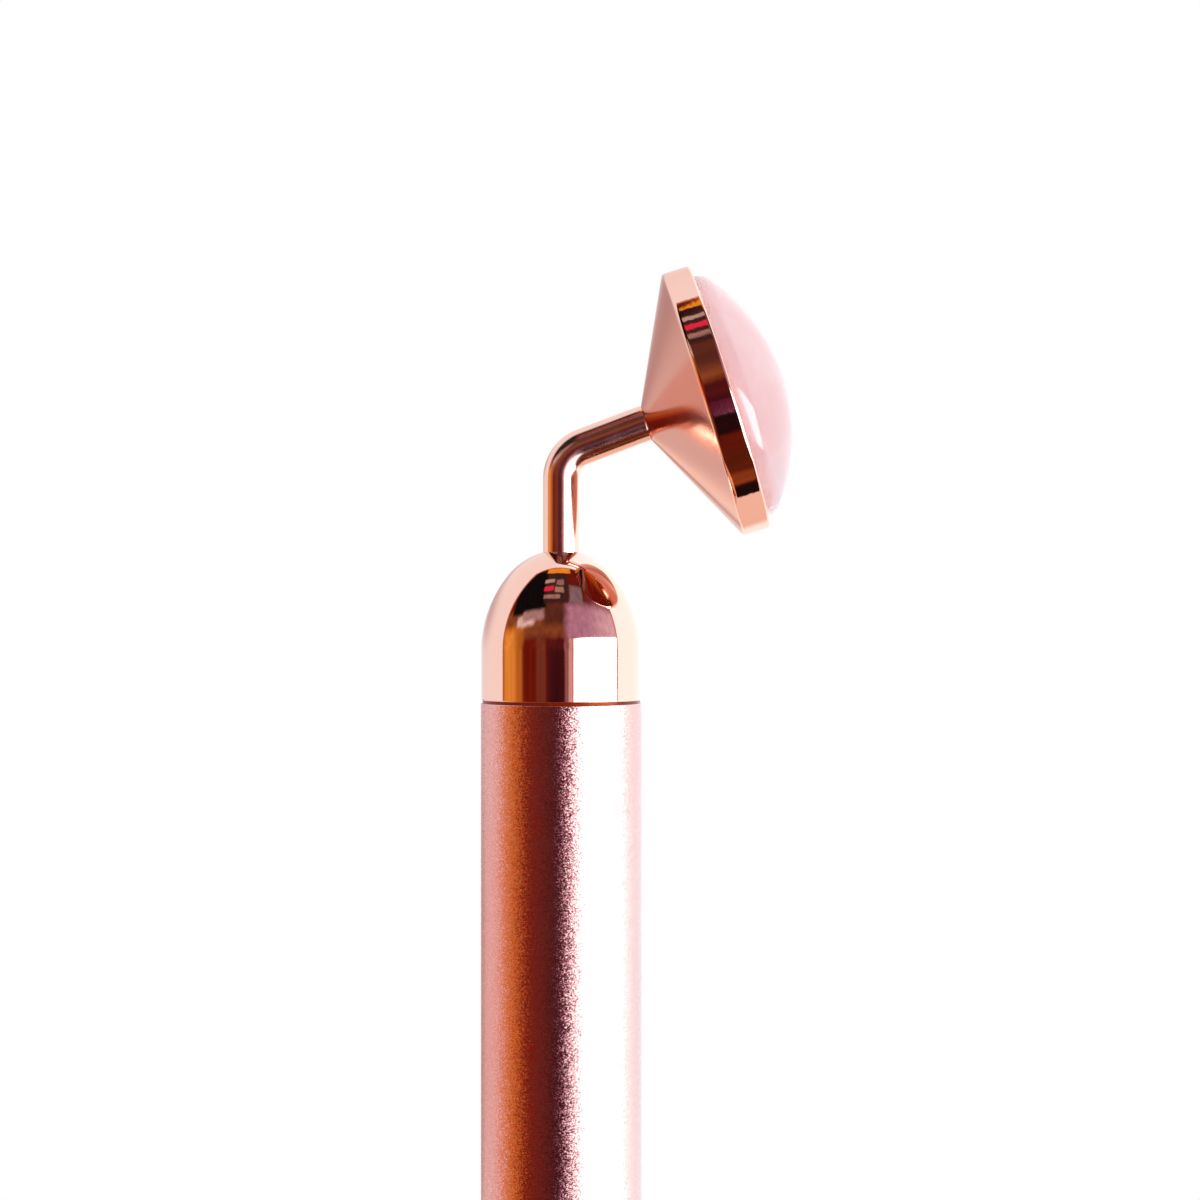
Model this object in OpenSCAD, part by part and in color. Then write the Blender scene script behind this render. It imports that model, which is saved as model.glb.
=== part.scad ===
// Face contour bar: a slim battery handle that carries a domed quartz head on a bent neck.
// All sizes are millimetres. The origin is the centre of the tail's flat end face,
// +Z runs up the handle and the head faces +X.

/* [Battery] */
// Diameter of the AA cell over its jacket
cell_d = 14.5; // [13.8:0.1:15]
// Length of the cell without its button
cell_len = 49.3; // [48:0.1:50]
// Diameter of the positive button
button_d = 5.2; // [4:0.1:5.5]
// Height of the positive button
button_h = 1.2; // [1:0.1:1.6]
// Wall of the cell's steel can
cell_wall = 0.25; // [0.2:0.05:0.4]
// Thickness of the jacket shrunk over the can
jacket_t = 0.15; // [0.1:0.05:0.3]
// Diameter of the negative end plate
negative_d = 9.6; // [8:0.2:10.4]
// Width of the sealing grommet round the negative plate
grommet_w = 0.7; // [0.4:0.1:1]
// Radial gap round the cell in its bay
cell_gap = 0.3; // [0.2:0.05:0.6]

/* [Handle] */
// Wall of the handle tube
tube_wall = 0.7; // [0.5:0.05:1.2]
// Length of the handle tube between the tail cap and the seam
tube_len = 102; // [98:1:130]
// Chamfer on the tube's two ends
tube_chamfer = 0.12; // [0.05:0.01:0.3]

/* [Tail cap] */
// Length of the tail cap outside the tube
cap_len = 13; // [10:0.5:20]
// How far the polished caps stand in from the tube's surface
cap_step = 0.05; // [0.02:0.01:0.2]
// Length of the threaded spigot that enters the tube
spigot_len = 7; // [5:0.5:10]
// Radial gap of the twisting spigot in the tube
twist_gap = 0.06; // [0.03:0.01:0.1]
// Diameter of the hollow that holds the contact spring
spring_bay_d = 11; // [10.4:0.1:11.6]
// Thickness of the solid tail end
tail_floor = 5; // [2:0.5:8]
// Radius on the tail's lower edge
tail_round = 1; // [0.4:0.1:2]
// Thickness of the tail seal's rubber
seal_cord = 0.9; // [0.7:0.1:1.2]
// Distance from the tube's mouth up to the middle of the seal
seal_rise = 3.5; // [2.5:0.5:4]

/* [Contact spring] */
// Diameter of the spring wire
spring_wire = 0.7; // [0.5:0.1:0.8]
// Outside diameter of the spring's wide end
spring_base_d = 9.8; // [9:0.1:10]
// Outside diameter of the spring's narrow end
spring_tip_d = 7.4; // [6:0.1:8.6]
// Turns of the spring
spring_turns = 8; // [6:1:9]
// Rise of the first and the last turn
spring_end_pitch = 1.3; // [1.25:0.05:1.5]
// Thickness of the plate under the spring
plate_t = 0.3; // [0.2:0.1:0.6]
// Height of the plate's upturned rim
plate_rim = 0.9; // [0.6:0.1:1.5]

/* [Motor] */
// Diameter of the motor can
motor_d = 12; // [11:0.1:12.4]
// Length of the motor can
motor_len = 20; // [18:0.5:24]
// Wall of the motor can
can_wall = 0.4; // [0.3:0.05:0.6]
// How far the motor stands up into the dome
motor_rise = 2; // [0.5:0.5:3]
// Diameter of the motor shaft
shaft_d = 1.5; // [1:0.1:2]
// Thickness of the ring magnets
magnet_t = 1.1; // [0.8:0.1:1.5]
// Angle that each magnet covers
magnet_span = 118; // [90:2:150]
// Length of the magnets
magnet_len = 12; // [9:0.5:13]
// Air gap between rotor and magnets
air_gap = 0.25; // [0.2:0.05:0.5]
// Length of the rotor's lamination stack
core_len = 9.5; // [7:0.5:10.5]
// Thickness of a rotor arm
arm_w = 1.4; // [1:0.1:1.8]
// Thickness of the rotor's pole shoes
shoe_t = 0.7; // [0.5:0.1:1]
// Build of the winding at each side of an arm
winding_t = 0.85; // [0.5:0.05:1]
// Outside diameter of the bearing bushes
bush_d = 4; // [3:0.1:4.4]
// Length of the bearing bushes
bush_len = 1.9; // [1.5:0.1:2.4]
// Outside diameter of the commutator
commutator_d = 3.2; // [2.6:0.1:3.6]
// Radius of the eccentric weight
weight_r = 5.2; // [4:0.1:5.6]
// Height of the eccentric weight
weight_h = 4; // [3:0.1:4.4]

/* [Motor carrier] */
// Thickness of the carrier wall beside the wiring bay
carrier_wall = 1.2; // [0.9:0.1:1.6]
// Height of the contact block at the carrier's foot
block_h = 6; // [4:0.5:8]
// Thickness of the floor under the motor
motor_floor = 1.8; // [1.2:0.1:2.5]
// Width of the wiring window
window_w = 8; // [5:0.5:9]
// Diameter of the positive contact
contact_d = 7; // [6:0.2:9]
// Diameter of the insulated leads
lead_d = 1.1; // [0.8:0.1:1.3]
// Distance of each motor terminal from the middle
terminal_x = 3.4; // [3:0.1:3.8]
// Width of the earth leaf
leaf_w = 2.4; // [1.6:0.2:3]

/* [Dome cap] */
// Height of the dome cap above the seam
dome_h = 15.45; // [14:0.05:20]
// Height of the dome's straight side above the seam
dome_straight = 5.4; // [4:0.2:6]
// Radius of the dome's crown
crown_r = 7; // [6.6:0.1:7.4]
// Wall of the dome cap
dome_wall = 0.9; // [0.6:0.1:1.2]
// Thickness of the dome's crown under the neck
crown_t = 2.4; // [1.6:0.1:2.8]
// Length of the dome's skirt inside the tube
skirt_len = 8; // [5:0.5:10]
// Wall of the skirt
skirt_wall = 0.8; // [0.6:0.05:0.9]
// Thickness of the seam gasket
gasket_t = 0.3; // [0.2:0.05:0.5]
// How far the gasket stands in from the dome's surface
gasket_step = 0.12; // [0.05:0.01:0.3]

/* [Neck] */
// Diameter of the neck rod
neck_d = 3.75; // [3.2:0.05:5]
// Height of the neck's bend above the seam
bend_rise = 23; // [20:0.5:35]
// Radius of the neck's bend along its middle line
bend_r = 3.5; // [3:0.1:8]
// Lift of the neck above the horizontal after its bend
neck_lift = 20.7; // [10:0.5:35]
// Length of the neck's sloping straight
neck_run = 5.5; // [4:0.5:15]
// Radius of the slight bend next to the head
ease_r = 25; // [15:1:60]
// Diameter of the neck's threaded foot
foot_d = 3; // [2.6:0.1:3]
// Diameter of the neck's tenon in the head
tenon_d = 2.5; // [2:0.1:2.8]
// Length of the tenon
tenon_len = 4; // [3:0.1:4.4]
// Width of the neck nut across its flats
nut_af = 5.5; // [5:0.1:6]
// Height of the neck nut
nut_h = 2.4; // [1.8:0.1:2.4]
// Diameter of the washer over the nut
washer_d = 6.4; // [6:0.1:7]
// Thickness of the washer
washer_t = 0.5; // [0.3:0.1:0.6]

/* [Head] */
// Lift of the head's axis above the horizontal
head_lift = 17.5; // [5:0.5:20]
// Diameter of the head's rim
rim_d = 28; // [24:0.5:34]
// Width of the rim's straight band
rim_w = 2.85; // [2.4:0.05:5]
// Radius on the rim's edges
rim_round = 0.3; // [0.15:0.05:0.5]
// Depth of the cone behind the rim
cone_depth = 6.05; // [5.8:0.05:9]
// Wall of the cone
cone_wall = 1.5; // [1:0.1:1.8]
// Diameter of the boss that holds the tenon
boss_d = 6.4; // [5:0.2:8]
// Wall of the rim round the stone
rim_wall = 1.15; // [0.8:0.05:2]
// Depth of the stone's seat below the rim's face
seat_depth = 1.8; // [1:0.1:2.2]
// Width of the ledge under the stone
ledge_w = 1.5; // [1:0.1:3]

/* [Stone] */
// Height of the stone's crown above the rim's face
stone_rise = 5.9; // [4:0.1:9]
// Radius of the stone's crown
stone_r = 19.4; // [16:0.2:24]
// Radius on the stone's edge
stone_round = 1.2; // [0.6:0.1:1.4]
// Thickness of the adhesive under the stone
glue_t = 0.2; // [0.1:0.05:0.4]

/* [Clearances] */
// Gap between pieces that are fitted and don't move
fit_gap = 0.04; // [0.02:0.01:0.06]
// Radial gap of the shaft in its bushes
run_gap = 0.03; // [0.02:0.01:0.08]
// Gap between the cell and each of its contacts
contact_gap = 0.3; // [0.1:0.05:0.5]

/* [Hidden] */
// Fineness of round faces, and how far a cut runs past the face that it opens
fine = 96;
skin = 1;

// Radial gap of the pieces that are pressed onto the shaft
press_gap = 0.01;

// Cell: crimp at its foot, shoulders of its can, and the turned-in ends of its jacket
cell_float = 1;
crimp_h = 1.1;
can_lift = 0.2;
foot_shoulder = 0.5;
top_shoulder = 0.6;
jacket_lip = 0.5;
button_edge = 0.25;
plate_dish = 0.3;
dish_run = 0.3;
dish_rim = 0.9;

// Carrier: recess for the button, and the windows' round corners and margins
recess_depth = 0.8;
recess_gap = 0.6;
cup_setback = 1;
window_corner = 2;
window_margin = 0.8;

// Positive contact: its disc, its pip and the rivet through the block
disc_t = 0.4;
pip_t = 0.1;
rivet_r = 1;
rivet_head_r = 1.7;
rivet_h = 0.7;

// Earth leaf, its pocket, and the lead's bend
leaf_t = 0.25;
leaf_len = 9;
leaf_lift = 1.5;
leaf_depth = 0.7;
leaf_gap = 0.1;
leaf_crest = 2;
leaf_root = 0.5;
lead_bend = 1.6;

// Motor: terminals, end cap, brushes and how far the rotor lies above the middle
terminal_t = 0.3;
terminal_w = 1.8;
terminal_drop = 2.2;
end_cap_t = 1.6;
end_cap_skin = 0.3;
bush_rise = 1;
bush_wall = 0.6;
rotor_lift = 0.8;
hub_wall = 0.85;
shoe_span = 94;
commutator_len = 2.2;
commutator_t = 0.45;
commutator_lift = 0.7;
commutator_slot = 0.24;
sleeve_over = 0.4;
brush_w = 1.2;
brush_t = 0.3;
brush_rise = 1.7;
brush_tip = 1;
brush_flare = 0.5;
brush_gap = 0.05;
shaft_under = 0.1;
shaft_over = 0.3;
weight_lift = 1;
weight_hub = 1.1;

// Neck's foot below its nut, head boss above the tenon, and small chamfers and play at the tail
foot_over = 0.5;
boss_over = 1.2;
spigot_chamfer = 0.3;
groove_play = 0.2;
tray_gap = 0.15;
tray_t = 0.2;
tray_lift = 0.05;

// Radii, from the cell outwards
cell_r = cell_d / 2;
bore_r = cell_r + cell_gap;
tube_r = bore_r + tube_wall;
cap_r = tube_r - cap_step;
spigot_r = bore_r - twist_gap;
skirt_r = bore_r - fit_gap;
skirt_bore_r = skirt_r - skirt_wall;
carrier_r = bore_r - fit_gap;
motor_r = motor_d / 2;
shaft_r = shaft_d / 2;
neck_r = neck_d / 2;
rim_r = rim_d / 2;
bush_r = bush_d / 2;
commutator_r = commutator_d / 2;
sleeve_r = commutator_r - commutator_t;
can_bore_r = motor_r - can_wall;
magnet_r = can_bore_r - fit_gap;
rotor_r = magnet_r - magnet_t - air_gap;
hub_r = shaft_r + hub_wall;
button_r = button_d / 2;
seal_r = bore_r - fit_gap - seal_cord / 2;
stone_base_r = rim_r - rim_wall;

// Heights, from the tail upwards
tube_z = cap_len;
seam_z = tube_z + tube_len;
spigot_z = cap_len + spigot_len;
cell_z = spigot_z + cell_float;
cell_shoulder_z = cell_z + cell_len;
cell_top_z = cell_shoulder_z + button_h;
plate_z = tail_floor;
contact_z = cell_top_z + contact_gap;
carrier_z = contact_z - recess_depth;
bay_z = carrier_z + block_h;
motor_top_z = seam_z + motor_rise;
motor_z = motor_top_z - motor_len;
motor_seat_z = motor_z - motor_floor;
skirt_z = seam_z - skirt_len;
dome_z = seam_z + gasket_t;
crown_z = seam_z + dome_h;
ceiling_z = crown_z - crown_t;
nut_z = ceiling_z - washer_t - nut_h;
neck_foot_z = nut_z - foot_over;
rotor_mid_z = motor_z + motor_len / 2 + rotor_lift;
leaf_foot_z = bay_z + leaf_lift;
leaf_top_z = leaf_foot_z + leaf_len;
terminal_z = motor_seat_z - terminal_drop;
end_cap_top_z = motor_z + end_cap_t;
low_bush_z = motor_z + end_cap_skin;
bush_top_z = motor_top_z + bush_rise;
commutator_z = motor_z + bush_len + commutator_lift;
weight_z = bush_top_z + weight_lift;
weight_top_z = weight_z + weight_h;
seal_z = tube_z + seal_rise;
spring_z = plate_z + plate_t + spring_wire / 2;
spring_rise = cell_z - contact_gap - spring_wire / 2 - spring_z;
spring_pitch = (spring_rise - 2 * spring_end_pitch) / (spring_turns - 2);
rings_per_turn = 8;
ring_sides = 6;

// The neck's middle line lies in the XZ plane
bend_z = seam_z + bend_rise;
bend_end = [bend_r * (1 - sin(neck_lift)), bend_z + bend_r * cos(neck_lift)];
slope_end = bend_end + neck_run * [cos(neck_lift), sin(neck_lift)];
ease_centre = slope_end + ease_r * [sin(neck_lift), -cos(neck_lift)];
head_joint = ease_centre + ease_r * [-sin(head_lift), cos(head_lift)];

// Plain shapes that several pieces share

// A tube along Z from height z0 to z1
module ring(r_out, r_in, z0, z1) {
    translate([0, 0, z0])
        rotate_extrude($fn = fine)
            translate([r_in, 0])
                square([r_out - r_in, z1 - z0]);
}

// A round bar along Z from height z0 to z1
module bar(r, z0, z1) {
    translate([0, 0, z0])
        cylinder(r = r, h = z1 - z0, $fn = fine);
}

// A block centred on x and y, from height z0 to z1
module block(x, y, z0, z1) {
    translate([-x / 2, -y / 2, z0])
        cube([x, y, z1 - z0]);
}

// A slice of a disc between two angles
module pie(r, from, to) {
    middle = (from + to) / 2;
    intersection() {
        circle(r = r, $fn = fine);
        polygon([[0, 0], 2 * r * dir(from), 2 * r * dir(middle), 2 * r * dir(to)]);
    }
}

function dir(angle) = [cos(angle), sin(angle)];

// Draws a round bend that starts at the origin along +Z and turns towards +X.
// What follows it is drawn from the bend's far end, again along its own +Z.
module bend_on(bend, turn, r) {
    translate([bend, 0, 0])
        rotate([0, turn, 0])
            translate([-bend, 0, 0]) {
                translate([bend, 0, 0])
                    rotate([90, 0, 0])
                        rotate([0, 0, 180])
                            rotate_extrude(angle = turn, $fn = fine)
                                translate([bend, 0])
                                    circle(r = r, $fn = fine);
                children();
            }
}

// Puts a piece that is drawn along Z onto the head's axis
module on_head() {
    translate([head_joint[0], 0, head_joint[1]])
        rotate([0, 90 - head_lift, 0])
            children();
}

// Head

// The crown's arc runs into the edge's small arc along a radius that both share
module quartz_dome() {
    rim_face = cone_depth + rim_w;
    base = rim_face - seat_depth + glue_t;
    crown_centre = rim_face + stone_rise - stone_r;
    edge_x = stone_base_r - stone_round;
    edge_rise = sqrt(pow(stone_r - stone_round, 2) - edge_x * edge_x);
    edge_y = crown_centre + edge_rise;
    meet = atan2(edge_rise, edge_x);
    color("mistyrose")
        on_head()
            rotate_extrude($fn = fine) {
                translate([0, base])
                    square([stone_base_r, edge_y - base]);
                translate([edge_x, edge_y])
                    pie(stone_round, 0, meet);
                intersection() {
                    translate([0, crown_centre])
                        pie(stone_r, meet, 90);
                    translate([0, base])
                        square([stone_base_r, stone_r]);
                }
            }
}

module stone_adhesive() {
    base = cone_depth + rim_w - seat_depth;
    inner_r = stone_base_r + fit_gap - ledge_w;
    color("whitesmoke")
        on_head()
            ring(stone_base_r, inner_r, base, base + glue_t);
}

// The cup's cone starts at the neck's own diameter and ends in a straight band
module head_cup() {
    rim_face = cone_depth + rim_w;
    seat = rim_face - seat_depth;
    slope = (rim_r - neck_r) / cone_depth;
    wall_rise = cone_wall * sqrt(1 + slope * slope) / slope;
    pocket_r = stone_base_r + fit_gap - ledge_w;
    boss_top = tenon_len + boss_over;
    color("burlywood")
        on_head()
            difference() {
                rotate_extrude($fn = fine)
                    difference() {
                        cup_outline(rim_face);
                        translate([0, seat])
                            square([stone_base_r + fit_gap, seat_depth + skin]);
                        polygon([
                            [boss_d / 2, wall_rise + (boss_d / 2 - neck_r) / slope],
                            [pocket_r, wall_rise + (pocket_r - neck_r) / slope],
                            [pocket_r, seat + skin],
                            [0, seat + skin],
                            [0, boss_top],
                            [boss_d / 2, boss_top]
                        ]);
                    }
                bar(tenon_d / 2 + fit_gap, -skin, tenon_len + fit_gap);
            }
}

// Half outline of the cup: the cone, then the band with its two rounded edges
module cup_outline(rim_face) {
    cone_angle = atan2(rim_r - neck_r, cone_depth);
    tangent = rim_round * tan(cone_angle / 2);
    back = [rim_r - rim_round, cone_depth + tangent];
    front = [rim_r - rim_round, rim_face - rim_round];
    polygon([
        [0, 0],
        [neck_r, 0],
        [rim_r, cone_depth] - tangent * [sin(cone_angle), cos(cone_angle)],
        back,
        [rim_r, back[1]],
        [rim_r, front[1]],
        front,
        [front[0], rim_face],
        [0, rim_face]
    ]);
    translate(back)
        pie(rim_round, -cone_angle, 0);
    translate(front)
        pie(rim_round, 0, 90);
}

// Neck

// One bent rod: threaded foot, upright, bend, slope, slight bend and tenon
module neck_rod() {
    color("rosybrown") {
        bar(foot_d / 2, neck_foot_z, crown_z + skin);
        bar(neck_r, crown_z, bend_z);
        translate([0, 0, bend_z])
            bend_on(bend_r, 90 - neck_lift, neck_r) {
                bar(neck_r, 0, neck_run);
                translate([0, 0, neck_run])
                    bend_on(ease_r, neck_lift - head_lift, neck_r)
                        bar(tenon_d / 2, -skin, tenon_len);
            }
    }
}

module neck_washer() {
    color("silver")
        ring(washer_d / 2, foot_d / 2 + fit_gap, ceiling_z - washer_t, ceiling_z);
}

module neck_nut() {
    color("silver")
        difference() {
            translate([0, 0, nut_z])
                cylinder(d = nut_af / cos(30), h = nut_h, $fn = 6);
            bar(foot_d / 2 + fit_gap, nut_z - skin, nut_z + nut_h + skin);
        }
}

// Dome cap

// Height of the crown arc's centre above the dome's foot
function crown_centre_y() = dome_h - gasket_t - sqrt(crown_r * crown_r - neck_r * neck_r);

// Radius of the side arc that is tangent to the straight side and to the crown
function side_arc_r() =
    let (rise = crown_centre_y() - dome_straight + gasket_t)
    (cap_r * cap_r + rise * rise - crown_r * crown_r) / (2 * (cap_r - crown_r));

// Half outline of the dome, drawn in from its surface by inset. The side arc and the
// crown arc meet on the line through both their centres, so one runs into the other.
module dome_outline(inset) {
    side = side_arc_r();
    straight_y = dome_straight - gasket_t;
    crown_y = crown_centre_y();
    meet = atan2(crown_y - straight_y, side - cap_r);
    square([cap_r - inset, straight_y]);
    translate([cap_r - side, straight_y])
        intersection() {
            pie(side - inset, -meet, meet);
            translate([side - cap_r, -skin])
                square([cap_r, dome_h]);
        }
    translate([0, crown_y])
        pie(crown_r - inset, 0, 90);
}

// A bullet-shaped shell with a flat for the neck's shoulder and a skirt inside the tube
module dome_cap() {
    foot_r = foot_d / 2 + fit_gap;
    dome_top = dome_h - gasket_t;
    color("burlywood")
        translate([0, 0, dome_z])
            rotate_extrude($fn = fine)
                difference() {
                    union() {
                        intersection() {
                            dome_outline(0);
                            square([tube_r, dome_top]);
                        }
                        translate([0, skirt_z - dome_z])
                            square([skirt_r, dome_z - skirt_z + skin]);
                    }
                    translate([0, skirt_z - dome_z - skin])
                        square([skirt_bore_r, dome_z - skirt_z + 2 * skin]);
                    intersection() {
                        dome_outline(dome_wall);
                        square([tube_r, dome_top - crown_t]);
                    }
                    square([foot_r, dome_top + skin]);
                }
}

module seam_gasket() {
    color("maroon")
        ring(cap_r - gasket_step, skirt_r + fit_gap, seam_z, seam_z + gasket_t);
}

// Handle

module handle_tube() {
    color("lightpink")
        translate([0, 0, tube_z])
            rotate_extrude($fn = fine)
                polygon([
                    [bore_r, 0],
                    [tube_r - tube_chamfer, 0],
                    [tube_r, tube_chamfer],
                    [tube_r, tube_len - tube_chamfer],
                    [tube_r - tube_chamfer, tube_len],
                    [bore_r, tube_len]
                ]);
}

// Motor carrier and wiring

// A moulded insert: contact block, wiring bay with two windows, motor floor and motor cup
module motor_carrier() {
    color("ivory")
        difference() {
            union() {
                bar(carrier_r, carrier_z, skirt_z);
                bar(skirt_bore_r - fit_gap, skirt_z, motor_top_z - cup_setback);
            }
            bar(carrier_r - carrier_wall, bay_z, motor_seat_z);
            bar(motor_r + fit_gap, motor_z, motor_top_z + skin);
            button_recess();
            wiring_window();
            leaf_pocket();
            terminal_slots(motor_seat_z - skin, motor_z + skin);
            bar(bush_r + fit_gap, motor_seat_z - skin, motor_z + skin);
        }
}

// The button enters this recess, and a cell put in backwards can't reach the contact
module button_recess() {
    bar(button_r + recess_gap, carrier_z - skin, contact_z + skin);
    bar(contact_d / 2 + fit_gap, contact_z, contact_z + pip_t + disc_t);
    bar(rivet_r, contact_z, bay_z + skin);
}

// A window through both sides to solder through, its corners rounded
module wiring_window() {
    low = bay_z + window_corner + window_margin;
    high = motor_seat_z - window_corner - window_margin;
    rotate([90, 0, 0])
        linear_extrude(height = 2 * tube_r, center = true) {
            translate([-window_w / 2, low])
                square([window_w, high - low]);
            for (x = [-1, 1], y = [low, high])
                translate([x * (window_w / 2 - window_corner), y])
                    circle(r = window_corner, $fn = fine);
            translate([window_corner - window_w / 2, low - window_corner])
                square([window_w - 2 * window_corner, high - low + 2 * window_corner]);
        }
}

// Slots for the two motor terminals
module terminal_slots(z0, z1) {
    for (side = [-1, 1])
        translate([side * terminal_x, 0, 0])
            block(terminal_t + 2 * fit_gap, terminal_w + 2 * fit_gap, z0, z1);
}

// A flat pocket in the carrier's side, with a slot that lets the leaf's tab in
module leaf_pocket() {
    slot_w = leaf_w + 2 * leaf_gap;
    translate([leaf_depth - carrier_r, -slot_w / 2, leaf_foot_z - 2 * leaf_gap])
        mirror([1, 0, 0])
            cube([tube_r, slot_w, leaf_len + 4 * leaf_gap]);
    translate([-carrier_r, -slot_w / 2, leaf_foot_z - 2 * leaf_gap])
        cube([carrier_wall + skin, slot_w, leaf_t + 4 * leaf_gap]);
}

// The leaf bows out towards the tube and its foot turns in through the slot
module earth_leaf() {
    root_x = leaf_depth - carrier_r - fit_gap;
    bow_x = leaf_t + fit_gap - sqrt(bore_r * bore_r - leaf_w * leaf_w / 4);
    tab_x = lead_d / 2 - terminal_x;
    crest_low_z = leaf_foot_z + (leaf_len - leaf_crest) / 2;
    crest_high_z = crest_low_z + leaf_crest;
    color("gold")
        rotate([90, 0, 0])
            translate([0, 0, -leaf_w / 2])
                linear_extrude(height = leaf_w)
                    polygon([
                        [tab_x, leaf_foot_z],
                        [root_x - leaf_t, leaf_foot_z],
                        [bow_x - leaf_t, crest_low_z],
                        [bow_x - leaf_t, crest_high_z],
                        [root_x - leaf_t, leaf_top_z],
                        [root_x, leaf_top_z],
                        [bow_x, crest_high_z],
                        [bow_x, crest_low_z],
                        [root_x, leaf_foot_z + leaf_t + leaf_root],
                        [root_x, leaf_foot_z + leaf_t],
                        [tab_x, leaf_foot_z + leaf_t]
                    ]);
}

// A pressed disc with a domed face, and the rivet that holds it and takes the lead
module positive_contact() {
    color("gold") {
        bar(button_r / 2, contact_z, contact_z + pip_t + disc_t);
        bar(contact_d / 2, contact_z + pip_t, contact_z + pip_t + disc_t);
        bar(rivet_r - fit_gap, contact_z + pip_t, bay_z + rivet_h);
        bar(rivet_head_r, bay_z, bay_z + rivet_h);
    }
}

// Red lead: down from one terminal and round to the rivet's head
module positive_lead() {
    turn_z = bay_z + rivet_h + lead_d / 2 + lead_bend;
    color("red") {
        translate([terminal_x, 0, 0])
            bar(lead_d / 2, turn_z, terminal_z);
        translate([terminal_x, 0, turn_z])
            mirror([0, 0, 1])
                rotate([0, 0, 180])
                    bend_on(lead_bend, 90, lead_d / 2)
                        bar(lead_d / 2, 0, terminal_x - lead_bend);
    }
}

// Black lead from the other terminal to the earth leaf's tab
module negative_lead() {
    color("dimgray")
        translate([-terminal_x, 0, 0])
            bar(lead_d / 2, leaf_foot_z + leaf_t, terminal_z);
}

// Motor, its fixed pieces

// A drawn can, open below, with a boss round the upper bush
module motor_can() {
    color("silver")
        difference() {
            union() {
                bar(motor_r, motor_z, motor_top_z);
                bar(bush_r + can_wall + fit_gap, motor_top_z, bush_top_z - bush_rise / 10);
            }
            bar(can_bore_r, motor_z - skin, motor_top_z - can_wall);
            bar(bush_r + fit_gap, motor_z, bush_top_z + skin);
        }
}

module motor_magnets() {
    low_z = rotor_mid_z - magnet_len / 2;
    color("dimgray")
        for (side = [0, 180])
            rotate([0, 0, 90 + side - magnet_span / 2])
                translate([0, 0, low_z])
                    rotate_extrude(angle = magnet_span, $fn = fine)
                        translate([magnet_r - magnet_t, 0])
                            square([magnet_t, magnet_len]);
}

// A nylon plug with a blind boss for the lower bush
module motor_end_cap() {
    color("white")
        difference() {
            union() {
                bar(can_bore_r - fit_gap, motor_z, end_cap_top_z);
                bar(bush_r + bush_wall, motor_z, low_bush_z + bush_len);
            }
            bar(bush_r + fit_gap, low_bush_z, low_bush_z + bush_len + skin);
            terminal_slots(motor_z - skin, end_cap_top_z + skin);
        }
}

module upper_bush() {
    color("peru")
        ring(bush_r, shaft_r + run_gap, bush_top_z - bush_len, bush_top_z);
}

module lower_bush() {
    color("peru")
        ring(bush_r, shaft_r + run_gap, low_bush_z, low_bush_z + bush_len);
}

// Two finger brushes, each flared at its tip
module motor_brushes() {
    touch_x = commutator_r + brush_gap;
    tip_x = touch_x + brush_flare;
    foot_x = terminal_x - brush_t / 2;
    touch_z = end_cap_top_z + brush_rise;
    color("gold")
        for (turn = [0, 180])
            rotate([90, 0, turn])
                translate([0, 0, -brush_w / 2])
                    linear_extrude(height = brush_w)
                        polygon([
                            [foot_x, end_cap_top_z],
                            [touch_x, touch_z],
                            [tip_x, touch_z + brush_tip],
                            [tip_x + brush_t / 2, touch_z + brush_tip],
                            [touch_x + brush_t / 2, touch_z],
                            [foot_x + brush_t, end_cap_top_z]
                        ]);
}

module motor_terminals() {
    color("gold")
        for (side = [-1, 1])
            translate([side * terminal_x, 0, 0])
                block(terminal_t, terminal_w, terminal_z, end_cap_top_z);
}

// Motor, its turning pieces

// Three arms with curved pole shoes round a hub
module rotor_core() {
    color("slategray")
        translate([0, 0, rotor_mid_z - core_len / 2])
            difference() {
                union() {
                    bar(hub_r, 0, core_len);
                    for (turn = [0, 120, 240])
                        rotate([0, 0, turn]) {
                            translate([0, -arm_w / 2, 0])
                                cube([rotor_r - shoe_t / 2, arm_w, core_len]);
                            rotate([0, 0, -shoe_span / 2])
                                rotate_extrude(angle = shoe_span, $fn = fine)
                                    translate([rotor_r - shoe_t, 0])
                                        square([shoe_t, core_len]);
                        }
                }
                bar(shaft_r + press_gap, -skin, core_len + skin);
            }
}

// One coil round each arm, its two ends rounded where the wire turns over
module rotor_windings() {
    half_w = arm_w / 2 + winding_t;
    half_h = core_len / 2 + winding_t;
    color("chocolate")
        translate([0, 0, rotor_mid_z])
            for (turn = [0, 120, 240])
                rotate([0, 0, turn])
                    difference() {
                        intersection() {
                            rotate([90, 0, 90])
                                translate([0, 0, hub_r + fit_gap])
                                    linear_extrude(height = rotor_r) {
                                        translate([-half_w, half_w - half_h])
                                            square([2 * half_w, 2 * (half_h - half_w)]);
                                        for (end = [-1, 1])
                                            translate([0, end * (half_h - half_w)])
                                                circle(r = half_w, $fn = fine);
                                    }
                            bar(rotor_r - shoe_t - fit_gap, -half_h - skin, half_h + skin);
                        }
                        block(2 * rotor_r, arm_w, -core_len / 2, core_len / 2);
                    }
}

// Three copper segments, parted by narrow slots
module commutator() {
    color("peru")
        difference() {
            ring(commutator_r, sleeve_r, commutator_z, commutator_z + commutator_len);
            for (turn = [60, 180, 300])
                rotate([0, 0, turn])
                    translate([0, -commutator_slot / 2, commutator_z - skin])
                        cube([commutator_d, commutator_slot, commutator_len + 2 * skin]);
        }
}

module commutator_sleeve() {
    color("ivory")
        ring(
            sleeve_r,
            shaft_r + press_gap,
            commutator_z,
            commutator_z + commutator_len + sleeve_over
        );
}

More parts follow.
